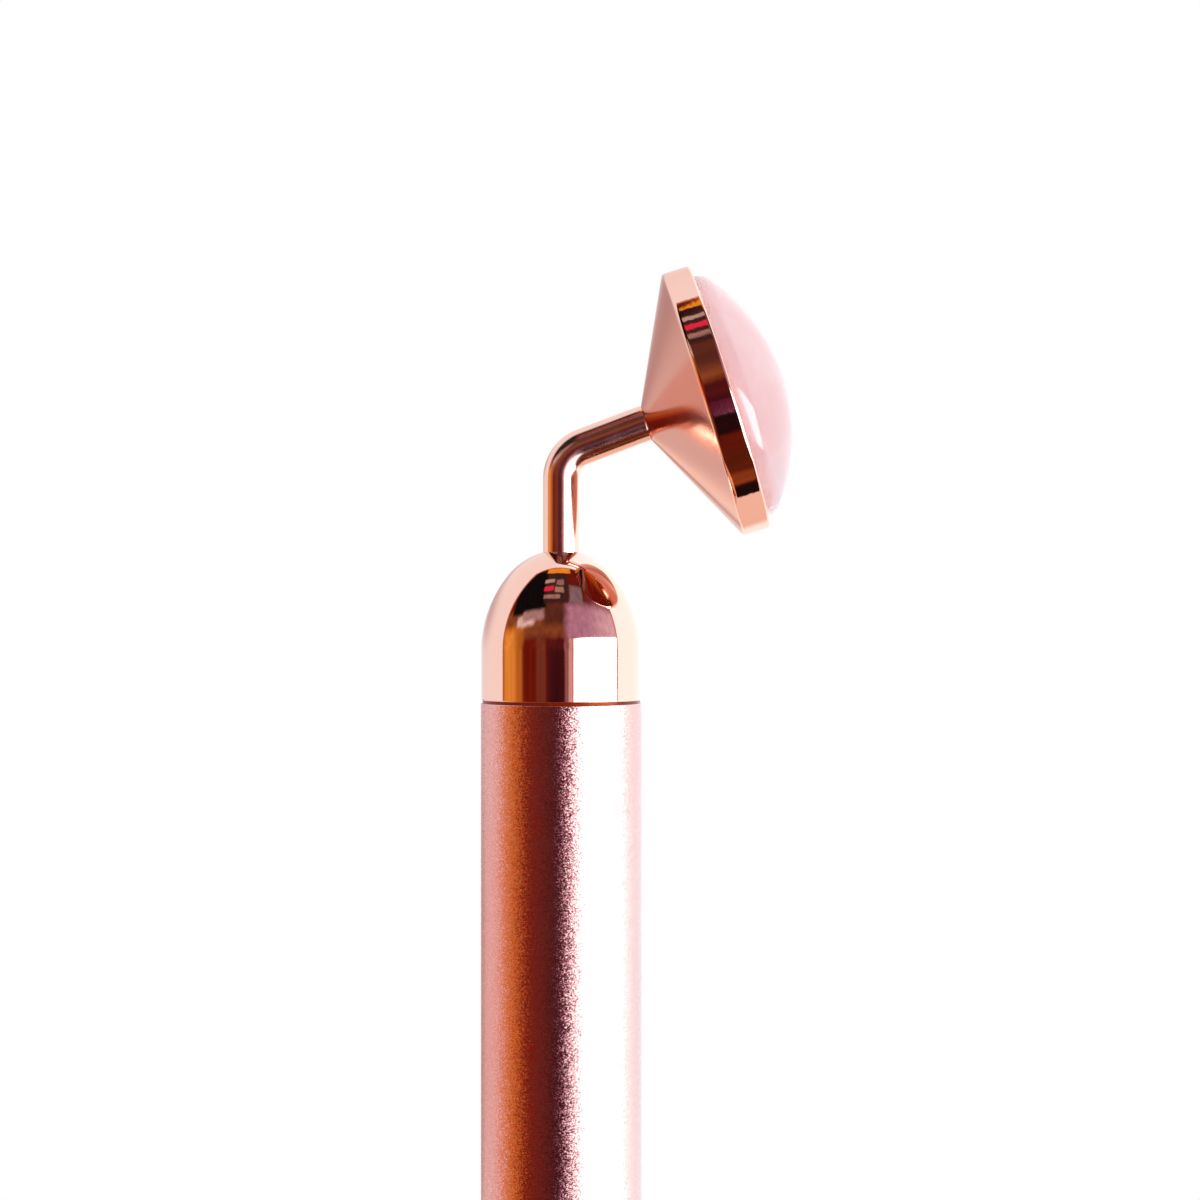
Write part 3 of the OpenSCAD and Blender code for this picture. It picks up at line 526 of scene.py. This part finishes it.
def bendRing(bm, ring, centre, degrees, steps):
    verts = list({v for e in ring for v in e.verts})
    made = bmesh.ops.spin(bm, geom=verts + ring, cent=centre, axis=(0, 1, 0), dvec=(0, 0, 0),
                          angle=math.radians(degrees), steps=steps, use_merge=False)
    return edgesOf(made["geom_last"])


def shrinkRing(bm, ring, factor, centre):
    # steps the tube in to a smaller radius in the ring's own plane
    made = bmesh.ops.extrude_edge_only(bm, edges=ring)["geom"]
    bmesh.ops.scale(bm, vec=(factor,) * 3, space=Matrix.Translation(-centre),
                    verts=vertsOf(made))
    return edgesOf(made)


def neckRod():
    bm = bmesh.new()
    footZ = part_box("neck_rod")[0].z
    shoulder = seamZ + dome["height"]
    bendZ = seamZ + neck["bendRise"]
    lift = math.radians(neck["lift"])
    tilt = math.radians(headLift)
    bmesh.ops.create_circle(bm, cap_ends=True, segments=neck["sides"], radius=neck["footR"],
                            matrix=Matrix.Translation((0, 0, footZ)))
    ring = bm.edges[:]
    ring = pushRing(bm, ring, Vector((0, 0, shoulder - footZ)))
    ring = shrinkRing(bm, ring, neckR / neck["footR"], Vector((0, 0, shoulder)))
    ring = pushRing(bm, ring, Vector((0, 0, bendZ - shoulder)))
    ring = bendRing(bm, ring, (neck["bendR"], 0, bendZ), 90 - neck["lift"], 32)
    along = Vector((math.cos(lift), 0, math.sin(lift)))
    ring = pushRing(bm, ring, along * neck["run"])
    end = headJoint()
    easeCentre = end - neck["easeR"] * Vector((-math.sin(tilt), 0, math.cos(tilt)))
    ring = bendRing(bm, ring, easeCentre, neck["lift"] - headLift, 6)
    rim = ring
    ring = shrinkRing(bm, ring, neck["tenonR"] / neckR, end)
    axis = Vector((math.cos(tilt), 0, math.sin(tilt)))
    ring = pushRing(bm, ring, axis * neck["tenonLen"])
    bmesh.ops.holes_fill(bm, edges=ring, sides=0)
    bmesh.ops.bevel(bm, geom=rim, offset=neck["edge"], offset_type="OFFSET", segments=3,
                    profile=0.5, affect="EDGES", clamp_overlap=True, material=-1)
    piece = makePiece("neckRod", bm)
    dress(piece, "neckRoseGold")
    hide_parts("neck_rod")
    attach(piece, "handle")
    return piece


# Head cup and stone

head = {
    "rimR": 14.0 * mm,
    "band": 2.85 * mm,
    "edge": 0.3 * mm,
    "depth": 6.05 * mm,
    "wall": 1.5 * mm,
    "rimWall": 1.15 * mm,
    "seat": 1.8 * mm,
    "ledge": 1.5 * mm,
    "bossR": 3.2 * mm,
    "bossTop": 5.2 * mm,
    "tenonHole": 1.29 * mm,
    "lip": 0.12 * mm,
    "steps": 256,
}
stone = {
    "crownR": 19.4 * mm,
    "rise": 5.9 * mm,
    "edge": 2.2 * mm,
    "glue": 0.2 * mm,
    "gap": 0.02 * mm,
    "foot": 0.2 * mm,
    "steps": 224,
}
cupFinish = {
    # the cone's two tones are darker than the band's: painted shade on the same metal
    "paintedShadeConeTone": (0.72, 0.37, 0.29),
    "paintedShadeConeToneDeep": (0.67, 0.33, 0.255),
    "coneRoughness": (0.12, 0.16),
    "edgeTint": (0.95, 0.84, 0.80),
    "bandRoughness": (0.02, 0.05),
    "blend": 0.12 * mm,
    "grainScale": 2600,
    "grainDepth": 0.012 * mm,
    "grain": 0.3,
}


def cupRoseGold():
    # the cone behind the band is only lightly buffed, the band round the stone is bright; the
    # cone's darker tone is painted shade, standing in for the shaded room that it mirrors
    mat, tree, shader, place = newMaterial("cupRoseGold")
    axis = onHead().to_3x3() @ Vector((0, 0, 1))
    along = newNode(tree, "ShaderNodeVectorMath", operation="DOT_PRODUCT")
    tree.links.new(place, along.inputs[0])
    along.inputs[1].default_value = axis
    edge = axis.dot(headJoint()) + head["depth"]
    onBand = spread(tree, along.outputs["Value"], 0, 1,
                    edge - 2 * cupFinish["blend"], edge)
    cloud = noise(tree, place, polishedGold["cloudScale"], 3)
    # painted shade: the cone gets the darker tones, the band keeps the metal's own
    cone = blendColours(tree, cloud, cupFinish["paintedShadeConeToneDeep"], cupFinish["paintedShadeConeTone"])
    band = blendColours(tree, cloud, polishedGold["toneDeep"], polishedGold["tone"])
    tree.links.new(blendColours(tree, onBand, cone, band), shader.inputs["Base Color"])
    haze = noise(tree, place, polishedGold["glossScale"], 6)
    dull = spread(tree, haze, *cupFinish["coneRoughness"], 0.35, 0.7)
    bright = spread(tree, haze, *cupFinish["bandRoughness"], 0.35, 0.7)
    mix = newNode(tree, "ShaderNodeMix", data_type="FLOAT")
    tree.links.new(onBand, mix.inputs["Factor"])
    tree.links.new(dull, mix.inputs[2])
    tree.links.new(bright, mix.inputs[3])
    tree.links.new(mix.outputs[0], shader.inputs["Roughness"])
    wave = bump(tree, noise(tree, place, polishedGold["waveScale"], 1), polishedGold["wave"],
                polishedGold["waveDepth"])
    tree.links.new(bump(tree, noise(tree, place, cupFinish["grainScale"], 3), cupFinish["grain"],
                        cupFinish["grainDepth"], wave), shader.inputs["Normal"])
    shader.inputs["Metallic"].default_value = 1.0
    shader.inputs["Specular Tint"].default_value = (*cupFinish["edgeTint"], 1)
    return mat


surface["cupRoseGold"] = cupRoseGold()


def headCup():
    bm = bmesh.new()
    slope = (head["rimR"] - neckR) / head["depth"]
    wallRise = head["wall"] * math.sqrt(1 + slope * slope) / slope
    face = head["depth"] + head["band"]
    seat = face - head["seat"]
    stoneR = head["rimR"] - head["rimWall"]
    pocketR = stoneR - head["ledge"]
    first = startVert(bm, head["tenonHole"], 0)
    v = lineTo(bm, first, neckR, 0)
    v = lineTo(bm, v, head["rimR"], head["depth"])
    v = lineTo(bm, v, head["rimR"], face)
    v = lineTo(bm, v, stoneR, face)
    v = lineTo(bm, v, stoneR, seat)
    v = lineTo(bm, v, pocketR, seat)
    v = lineTo(bm, v, pocketR, wallRise + (pocketR - neckR) / slope)
    v = lineTo(bm, v, head["bossR"], wallRise + (head["bossR"] - neckR) / slope)
    v = lineTo(bm, v, head["bossR"], head["bossTop"])
    v = lineTo(bm, v, 0, head["bossTop"])
    w = lineTo(bm, first, head["tenonHole"], neck["tenonLen"])
    lineTo(bm, w, 0, neck["tenonLen"])
    turnOnLathe(bm, head["steps"])
    softenRings(bm, [(head["rimR"], head["depth"]), (head["rimR"], face)], head["edge"], 5)
    softenRings(bm, [(stoneR, face)], head["lip"], 3)
    piece = makePiece("headCup", bm, onHead())
    dress(piece, "cupRoseGold")
    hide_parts("head_cup")
    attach(piece, "handle")
    return piece


def quartzDome():
    bm = bmesh.new()
    face = head["depth"] + head["band"]
    base = face - head["seat"] + stone["glue"]
    stoneR = head["rimR"] - head["rimWall"] - stone["gap"]
    crownC = face + stone["rise"] - stone["crownR"]
    edgeX = stoneR - stone["edge"]
    edgeRise = math.sqrt((stone["crownR"] - stone["edge"]) ** 2 - edgeX ** 2)
    meet = math.degrees(math.atan2(edgeRise, edgeX))
    v = startVert(bm, 0, base)
    v = lineTo(bm, v, stoneR, base)
    v = lineTo(bm, v, stoneR, crownC + edgeRise)
    v = arcTo(bm, v, edgeX, crownC + edgeRise, meet, 12)
    arcTo(bm, v, 0, crownC, 90 - meet, 48)
    turnOnLathe(bm, stone["steps"])
    softenRings(bm, [(stoneR, base)], stone["foot"], 2)
    piece = makePiece("quartzDome", bm, onHead(), 50)
    dress(piece, "roseQuartz")
    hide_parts("quartz_dome")
    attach(piece, "handle")
    return piece


# Tail cap and its spring

tail = {
    "round": 1.0 * mm,
    "edge": 0.12 * mm,
    "spigotR": 7.49 * mm,
    "grooveR": 6.57 * mm,
    "grooveLow": 15.95 * mm,
    "grooveHigh": 17.05 * mm,
    "threadFrom": 17.4 * mm,
    "threadRoot": 7.1 * mm,
    "threadRelief": 0.2 * mm,
    "threadSink": 0.05 * mm,
    "pitch": 0.75 * mm,
    "turns": 2.25,
    "ridgeSteps": 96,  # for each turn
    "bayR": 5.5 * mm,
    "floor": 5.0 * mm,
    "mouth": 0.25 * mm,
}
spring = {
    "wire": 0.7 * mm,
    "baseR": 4.55 * mm,
    "tipR": 3.35 * mm,
    "low": 5.65 * mm,
    "high": 20.35 * mm,
    "turns": 8,
    "endPitch": 1.3 * mm,
    "wireSides": 14,
    "coilSteps": 40,  # for each turn
}


def windUp(bm, ring, turns, rise, stepsPerTurn):
    # sweeps a closed ring of edges round the Z axis as it climbs
    steps = round(turns * stepsPerTurn)
    verts = list({v for e in ring for v in e.verts})
    made = bmesh.ops.spin(bm, geom=verts + ring, cent=(0, 0, 0), axis=(0, 0, 1),
                          dvec=(0, 0, rise / steps), angle=math.tau * turns, steps=steps,
                          use_merge=False)
    return edgesOf(made["geom_last"])


def threadRidge(bm):
    # a three-sided ridge wound up the spigot, run out to nothing at both ends
    ridge = bmesh.new()
    root = tail["threadRoot"] - tail["threadSink"]
    runOut = tail["ridgeSteps"] / 4
    low = tail["threadFrom"]
    corners = [ridge.verts.new((root, 0, low)),
               ridge.verts.new((tail["spigotR"], 0, low + 0.45 * tail["pitch"])),
               ridge.verts.new((root, 0, low + 0.9 * tail["pitch"]))]
    ring = [ridge.edges.new((corners[i - 1], corners[i])) for i in range(3)]
    windUp(ridge, ring, tail["turns"], tail["turns"] * tail["pitch"], tail["ridgeSteps"])
    last = len(ridge.verts) // 3 - 1
    for count, v in enumerate(ridge.verts):
        step = count // 3
        full = min(1, step / runOut, (last - step) / runOut)
        r = math.hypot(v.co.x, v.co.y)
        keep = (root - 0.02 * mm * (1 - full) + (r - root) * full) / r
        v.co.x *= keep
        v.co.y *= keep
    bmesh.ops.holes_fill(ridge, edges=[e for e in ridge.edges if e.is_boundary], sides=0)
    bmesh.ops.recalc_face_normals(ridge, faces=ridge.faces[:])
    mesh = bpy.data.meshes.new("ridge")
    ridge.to_mesh(mesh)
    ridge.free()
    bm.from_mesh(mesh)
    bpy.data.meshes.remove(mesh)


def tailCap():
    bm = bmesh.new()
    top = tailHigh.z
    outerR = tailHigh.y
    c = tail["edge"]
    v = startVert(bm, 0, 0)
    v = lineTo(bm, v, outerR - tail["round"], 0)
    v = arcTo(bm, v, outerR - tail["round"], tail["round"], 90, 10)
    v = lineTo(bm, v, outerR, tubeLow.z - c)
    v = lineTo(bm, v, outerR - c, tubeLow.z)
    v = lineTo(bm, v, tail["spigotR"], tubeLow.z)
    v = lineTo(bm, v, tail["spigotR"], tail["grooveLow"])
    v = lineTo(bm, v, tail["grooveR"], tail["grooveLow"])
    v = lineTo(bm, v, tail["grooveR"], tail["grooveHigh"])
    v = lineTo(bm, v, tail["spigotR"], tail["grooveHigh"])
    v = lineTo(bm, v, tail["spigotR"], tail["threadFrom"] - tail["threadRelief"])
    v = lineTo(bm, v, tail["threadRoot"], tail["threadFrom"])
    v = lineTo(bm, v, tail["threadRoot"], top - tail["mouth"])
    v = lineTo(bm, v, tail["threadRoot"] - tail["mouth"], top)
    v = lineTo(bm, v, tail["bayR"] + tail["mouth"], top)
    v = lineTo(bm, v, tail["bayR"], top - tail["mouth"])
    v = lineTo(bm, v, tail["bayR"], tail["floor"])
    lineTo(bm, v, 0, tail["floor"])
    turnOnLathe(bm, latheSteps)
    threadRidge(bm)
    piece = makePiece("tailCap", bm)
    dress(piece, "polishedRoseGold")
    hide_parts("tail_cap")
    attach(piece, "tail_cap")
    return piece


def contactSpring():
    bm = bmesh.new()
    sides = spring["wireSides"]
    perTurn = spring["coilSteps"]
    bmesh.ops.create_circle(bm, cap_ends=False, segments=sides, radius=spring["wire"] / 2,
                            matrix=Matrix.Translation((spring["baseR"], 0, spring["low"]))
                            @ Matrix.Rotation(math.radians(90), 4, "X"))
    rise = spring["high"] - spring["low"] - 2 * spring["endPitch"]
    ring = windUp(bm, bm.edges[:], 1, spring["endPitch"], perTurn)
    ring = windUp(bm, ring, spring["turns"] - 2, rise, perTurn)
    windUp(bm, ring, 1, spring["endPitch"], perTurn)
    for count, v in enumerate(bm.verts):
        wound = (count // sides) / (perTurn * spring["turns"])
        r = math.hypot(v.co.x, v.co.y)
        keep = (r - (spring["baseR"] - spring["tipR"]) * wound) / r
        v.co.x *= keep
        v.co.y *= keep
    bmesh.ops.holes_fill(bm, edges=[e for e in bm.edges if e.is_boundary], sides=0)
    piece = makePiece("contactSpring", bm, creaseAngle=60)
    dress(piece, "springSteel")
    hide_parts("contact_spring")
    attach(piece, "tail_contact")
    return piece


for build in (handleBarrel, domeShell, neckRod, headCup, quartzDome, tailCap, contactSpring):
    made = build()
    print("made", made.name, len(made.data.polygons), "faces")


# Floor, surroundings and camera

floor = {
    "drop": 0.05 * mm,
    "radius": 250 * mm,
    "fadeFrom": 110 * mm,
    "fadeTo": 240 * mm,
    "tone": (0.93, 0.925, 0.92),
    "roughness": 0.6,
}


def paleFloor():
    bm = bmesh.new()
    bmesh.ops.create_circle(bm, cap_ends=True, segments=96, radius=floor["radius"],
                            matrix=Matrix.Translation((0, 0, -floor["drop"])))
    mesh = bpy.data.meshes.new("floor")
    bm.to_mesh(mesh)
    bm.free()
    piece = bpy.data.objects.new("floor", mesh)
    bpy.context.scene.collection.objects.link(piece)
    mat, tree, shader, place = newMaterial("paleFloor")
    shader.inputs["Base Color"].default_value = (*floor["tone"], 1)
    shader.inputs["Roughness"].default_value = floor["roughness"]
    reach = newNode(tree, "ShaderNodeVectorMath", operation="LENGTH")
    tree.links.new(place, reach.inputs[0])
    fade = newNode(tree, "ShaderNodeMapRange", interpolation_type="SMOOTHSTEP")
    fade.inputs["From Min"].default_value = floor["fadeFrom"]
    fade.inputs["From Max"].default_value = floor["fadeTo"]
    fade.inputs["To Min"].default_value = 1
    fade.inputs["To Max"].default_value = 0
    tree.links.new(reach.outputs["Value"], fade.inputs["Value"])
    tree.links.new(fade.outputs["Result"], shader.inputs["Alpha"])
    mesh.materials.append(mat)
    piece.visible_glossy = False


# What the polish mirrors: cards on the wall in front. A card's place is where it shows on a
# mirrored ball seen from the front, across and up from its middle, with 1 at the ball's edge
cards = [
    {"across": (-1.4, 0.12), "up": (0.12, 0.42), "soft": 0.05, "colour": (0.23, 0.070, 0.026)},
    {"across": (-0.22, 0.10), "up": (0.22, 0.45), "soft": 0.04, "colour": (0.105, 0.030, 0.020)},
    {"across": (0.08, 1.4), "up": (0.08, 0.44), "soft": 0.06, "colour": (0.44, 0.23, 0.36)},
    {"across": (0.55, 1.5), "up": (0.06, 0.42), "soft": 0.25, "colour": (0.74, 0.52, 0.64)},
    {"across": (-1.4, -0.52), "up": (-0.7, 0.26), "soft": 0.05, "colour": (0.47, 0.155, 0.022)},
    {"across": (-0.97, -0.67), "up": (-0.7, 0.20), "soft": 0.07, "colour": (0.80, 0.34, 0.055)},
    {"across": (-1.4, -0.97), "up": (-0.7, 0.10), "soft": 0.03, "colour": (0.56, 0.11, 0.018)},
    {"across": (-0.50, -0.30), "up": (-1.0, 0.09), "soft": 0.04, "colour": (0.15, 0.011, 0.004)},
    {"across": (-0.31, -0.17), "up": (-0.3, 0.13), "soft": 0.03, "colour": (0.175, 0.040, 0.022)},
    {"across": (-0.16, 0.06), "up": (-0.32, 0.10), "soft": 0.02, "colour": (0.085, 0.010, 0.012)},
    {"across": (-0.12, 0.09), "up": (-0.36, 0.0), "soft": 0.04, "colour": (0.035, 0.005, 0.008)},
    {"across": (0.06, 0.105), "up": (-0.045, 0.12), "soft": 0.015, "colour": (0.30, 0.11, 0.11)},
    {"across": (0.112, 0.165), "up": (-0.045, 0.107), "soft": 0.01, "colour": (0.62, 0.38, 0.38)},
    {"across": (-0.80, -0.20), "up": (0.36, 0.95), "soft": 0.03, "colour": (0.006, 0.004, 0.005)},
    {"across": (-0.66, -0.36), "up": (0.23, 0.335), "soft": 0.03, "colour": (0.78, 0.66, 0.66)},
    {"across": (-0.56, -0.22), "up": (0.28, 0.38), "soft": 0.03, "colour": (0.40, 0.26, 0.27)},
    {"across": (-0.24, 0.12), "up": (0.44, 0.87), "soft": 0.02, "colour": (0.050, 0.020, 0.020)},
    {"across": (-0.26, 0.18), "up": (0.87, 1.2), "soft": 0.012, "colour": (0.90, 0.34, 0.03)},
    {"across": (-0.27, -0.10), "up": (0.70, 0.755), "soft": 0.01, "colour": (0.46, 0.36, 0.33)},
    {"across": (-0.07, 0.06), "up": (0.66, 0.74), "soft": 0.01, "colour": (0.30, 0.17, 0.16)},
    {"across": (-0.26, -0.10), "up": (0.585, 0.65), "soft": 0.01, "colour": (0.72, 0.03, 0.08)},
    {"across": (-0.08, 0.05), "up": (0.56, 0.63), "soft": 0.01, "colour": (0.42, 0.27, 0.20)},
    {"across": (-0.25, 0.0), "up": (0.49, 0.535), "soft": 0.01, "colour": (0.36, 0.22, 0.20)},
    {"across": (0.14, 0.34), "up": (0.44, 0.66), "soft": 0.02, "colour": (0.22, 0.17, 0.20)},
    {"across": (0.10, 0.40), "up": (-0.62, -0.40), "soft": 0.05, "colour": (0.10, 0.016, 0.006)},
    {"across": (0.16, 0.40), "up": (-0.78, -0.64), "soft": 0.04, "colour": (0.26, 0.06, 0.015)},
    {"across": (0.0, 0.50), "up": (-1.2, -0.80), "soft": 0.03, "colour": (0.014, 0.005, 0.005)},
    {"across": (-0.6, 0.17), "up": (-1.4, -0.72), "soft": 0.04, "colour": (0.95, 0.38, 0.17)},
    {"across": (-0.1, 0.20), "up": (-0.27, -0.04), "soft": 0.02, "colour": (0.016, 0.004, 0.005)},
]
frontWall = {
    "colour": (0.13, 0.012, 0.006),
    "wobble": 0.05,
    "wobbleScale": 7,
    "mottle": 0.25,
    "mottleScale": 9,
}
softBox = {
    "across": (0.175, 0.975),
    "up": (-0.36, 0.095),
    "soft": 0.006,
    "rise": 0.05,  # how far its upper and lower edges slope
    "colour": (2.0, 2.0, 2.1),
    "bright": (9.5, 9.5, 9.5),  # its middle, which starts along a leaning line
    "lean": 0.8,
    "brightFrom": (0.25, 0.42),
}
backWall = {
    "left": (0.99, 0.95, 0.97),
    "right": (1.36, 1.36, 1.40),
    "turn": (-0.15, 0.30),
    "edge": (0.0, 0.02),
    "sag": 0.07,
    "corner": (-0.012, 0.022),  # thin dark line where the two walls meet
    "cornerSoft": 0.012,
    "cornerFoot": (-0.045, -0.03),
    "cornerColour": (0.50, 0.16, 0.08),
}
# soft shade on the wall behind, by direction: to the right and up
shades = [
    {"right": (-0.74, -0.14), "up": (0.07, 0.27), "soft": 0.20, "colour": (0.50, 0.34, 0.37)},
    {"right": (-0.50, 0.10), "up": (-0.52, -0.20), "soft": 0.10, "colour": (1.3, 1.3, 1.25)},
    {"right": (-1.2, 1.2), "up": (-1.2, -0.55), "soft": 0.10, "colour": (0.95, 0.68, 0.58)},
]
# what the room below eye level shows, from left to right: only the handle mirrors it
lowWall = {
    "top": (-0.0385, -0.052),
    "foot": (-0.27, -0.22),
    "middleFoot": (-0.15, -0.11),
    "front": (-0.35, -0.15),
    "behind": (0.93, 0.98),
    "reach": 4,
    "stops": [
        (-3.9, (0.56, 0.32, 0.27)), (-2.0, (0.93, 0.66, 0.63)), (-1.43, (0.93, 0.58, 0.54)),
        (-1.12, (0.94, 0.47, 0.33)), (-0.905, (0.86, 0.30, 0.14)), (-0.743, (0.76, 0.15, 0.03)),
        (-0.612, (0.66, 0.07, 0.008)), (-0.50, (0.48, 0.04, 0.006)),
        (-0.40, (0.28, 0.005, 0.002)), (-0.31, (0.18, 0.002, 0.001)),
        (-0.15, (0.12, 0.001, 0.001)), (-0.03, (0.06, 0.001, 0.003)),
        (0.06, (0.12, 0.02, 0.055)), (0.11, (0.75, 0.32, 0.58)), (0.175, (1.55, 1.15, 1.55)),
        (0.25, (2.1, 2.1, 2.2)), (1.50, (2.2, 2.2, 2.3)), (1.85, (1.20, 1.38, 1.48)),
        (3.0, (1.12, 1.28, 1.38)),
    ],
}
evenLight = {
    "colour": (1.0, 0.985, 0.98),
    "strength": 0.75,
}


def smoothStep(tree, value, low, high):
    node = newNode(tree, "ShaderNodeMapRange", interpolation_type="SMOOTHSTEP")
    node.inputs["From Min"].default_value = low
    node.inputs["From Max"].default_value = high
    tree.links.new(value, node.inputs["Value"])
    return node.outputs["Result"]


def between(tree, value, limits, soft):
    up = smoothStep(tree, value, limits[0] - soft, limits[0] + soft)
    down = smoothStep(tree, value, limits[1] + soft, limits[1] - soft)
    return calc(tree, "MULTIPLY", up, down)


def sideToSide(tree, across):
    ramp = newNode(tree, "ShaderNodeValToRGB")
    reach = lowWall["reach"]
    tree.links.new(spread(tree, across, 0, 1, -reach, reach), ramp.inputs["Fac"])
    stops = ramp.color_ramp.elements
    for count, (place, colour) in enumerate(lowWall["stops"]):
        at = (place + reach) / (2 * reach)
        stop = stops[count] if count < 2 else stops.new(at)
        stop.position = at
        stop.color = (*colour, 1)
    return ramp.outputs["Color"]


def studioWorld():
    # a soft even light on all, a white backdrop, and the room's walls where metal mirrors them
    world = bpy.data.worlds.new("studio")
    bpy.context.scene.world = world
    world.use_nodes = True
    tree = world.node_tree
    tree.nodes.clear()
    coords = newNode(tree, "ShaderNodeTexCoord")
    parts = newNode(tree, "ShaderNodeSeparateXYZ")
    tree.links.new(coords.outputs["Generated"], parts.inputs[0])
    right, back, high = parts.outputs
    reach = calc(tree, "MAXIMUM", calc(tree, "SUBTRACT", 1.0, back), 0.05)
    across = calc(tree, "DIVIDE", right, reach)
    up = calc(tree, "DIVIDE", high, reach)
    place = coords.outputs["Generated"]
    wobble = calc(tree, "MULTIPLY", frontWall["wobble"],
                  calc(tree, "SUBTRACT", noise(tree, place, frontWall["wobbleScale"], 4), 0.5))
    acrossNow = calc(tree, "ADD", across, wobble)
    upNow = calc(tree, "SUBTRACT", up, wobble)
    front = frontWall["colour"]
    for card in cards:
        mask = calc(tree, "MULTIPLY", between(tree, acrossNow, card["across"], card["soft"]),
                    between(tree, upNow, card["up"], card["soft"]))
        front = blendColours(tree, mask, front, card["colour"])
    mottle = spread(tree, noise(tree, place, frontWall["mottleScale"], 6),
                    1 - frontWall["mottle"], 1 + frontWall["mottle"], 0.25, 0.75)
    dimmed = newNode(tree, "ShaderNodeVectorMath", operation="SCALE")
    tree.links.new(front, dimmed.inputs[0])
    tree.links.new(mottle, dimmed.inputs["Scale"])
    front = dimmed.outputs[0]
    wall = blendColours(tree, smoothStep(tree, right, *backWall["turn"]),
                        backWall["left"], backWall["right"])
    for shade in shades:
        mask = calc(tree, "MULTIPLY", between(tree, right, shade["right"], shade["soft"]),
                    between(tree, high, shade["up"], shade["soft"]))
        wall = blendColours(tree, mask, wall, shade["colour"])
    wallStart = calc(tree, "SUBTRACT", back,
                     calc(tree, "MULTIPLY", calc(tree, "MULTIPLY", high, high), backWall["sag"]))
    mirrored = blendColours(tree, smoothStep(tree, wallStart, *backWall["edge"]), front, wall)
    belowEye = calc(tree, "MULTIPLY", smoothStep(tree, high, *lowWall["foot"]),
                    smoothStep(tree, high, *lowWall["top"]))
    belowEye = calc(tree, "MULTIPLY", belowEye,
                    calc(tree, "MAXIMUM", smoothStep(tree, up, *lowWall["middleFoot"]),
                         smoothStep(tree, back, *lowWall["front"])))
    belowEye = calc(tree, "MULTIPLY", belowEye,
                    smoothStep(tree, back, lowWall["behind"][1], lowWall["behind"][0]))
    mirrored = blendColours(tree, belowEye, mirrored, sideToSide(tree, acrossNow))
    raised = calc(tree, "SUBTRACT", up, calc(tree, "MULTIPLY", across, softBox["rise"]))
    lit = calc(tree, "MULTIPLY", between(tree, across, softBox["across"], softBox["soft"]),
               between(tree, raised, softBox["up"], softBox["soft"]))
    lit = calc(tree, "MULTIPLY", lit, smoothStep(tree, back, backWall["edge"][1], 0))
    leaning = calc(tree, "ADD", across, calc(tree, "MULTIPLY", up, softBox["lean"]))
    window = blendColours(tree, smoothStep(tree, leaning, *softBox["brightFrom"]),
                          softBox["colour"], softBox["bright"])
    mirrored = blendColours(tree, lit, mirrored, window)
    corner = calc(tree, "MULTIPLY",
                  between(tree, wallStart, backWall["corner"], backWall["cornerSoft"]),
                  smoothStep(tree, high, *backWall["cornerFoot"]))
    mirrored = blendColours(tree, corner, mirrored, backWall["cornerColour"])
    rays = newNode(tree, "ShaderNodeLightPath")
    soft = newNode(tree, "ShaderNodeBackground")
    soft.inputs["Color"].default_value = (*evenLight["colour"], 1)
    soft.inputs["Strength"].default_value = evenLight["strength"]
    room = newNode(tree, "ShaderNodeBackground")
    tree.links.new(mirrored, room.inputs["Color"])
    white = newNode(tree, "ShaderNodeBackground")
    white.inputs["Color"].default_value = (1, 1, 1, 1)
    shiny = calc(tree, "MAXIMUM", rays.outputs["Is Glossy Ray"],
                 rays.outputs["Is Transmission Ray"])
    shown = soft
    for factor, other in ((shiny, room), (rays.outputs["Is Camera Ray"], white)):
        mix = newNode(tree, "ShaderNodeMixShader")
        tree.links.new(factor, mix.inputs[0])
        tree.links.new(shown.outputs[0], mix.inputs[1])
        tree.links.new(other.outputs[0], mix.inputs[2])
        shown = mix
    out = newNode(tree, "ShaderNodeOutputWorld")
    tree.links.new(shown.outputs[0], out.inputs["Surface"])


keyLight = {
    "place": (320 * mm, -360 * mm, 330 * mm),
    "aim": (0, 0, 110 * mm),
    "size": 260 * mm,
    "power": 0.65,
    "colour": (1, 0.985, 0.97),
}


def softKey():
    lamp = bpy.data.lights.new("key", "AREA")
    lamp.shape = "SQUARE"
    lamp.size = keyLight["size"]
    lamp.energy = keyLight["power"]
    lamp.color = keyLight["colour"]
    piece = bpy.data.objects.new("key", lamp)
    piece.location = keyLight["place"]
    aim = Vector(keyLight["aim"]) - piece.location
    piece.rotation_euler = aim.to_track_quat("-Z", "Y").to_euler()
    piece.visible_glossy = False
    bpy.context.scene.collection.objects.link(piece)


view = {
    "target": (3.97 * mm, 0, 125.56 * mm),
    "distance": 300 * mm,
    "azimuth": 1.5,
    "elevation": 0.2,
    "lens": 87.8,
    "sensor": 36,
}


def photoCamera():
    data = bpy.data.cameras.new("camera")
    data.lens = view["lens"]
    data.sensor_width = view["sensor"]
    data.clip_start = 1 * mm
    data.clip_end = 10
    camera = bpy.data.objects.new("camera", data)
    a = math.radians(view["azimuth"])
    e = math.radians(view["elevation"])
    back = Vector((math.sin(a) * math.cos(e), -math.cos(a) * math.cos(e), math.sin(e)))
    camera.location = Vector(view["target"]) + back * view["distance"]
    camera.rotation_mode = "QUATERNION"
    camera.rotation_quaternion = (-back).to_track_quat("-Z", "Y")
    bpy.context.scene.collection.objects.link(camera)
    bpy.context.scene.camera = camera


paleFloor()
studioWorld()
softKey()
photoCamera()
bpy.context.scene.view_settings.view_transform = "Standard"
print("stage ready")
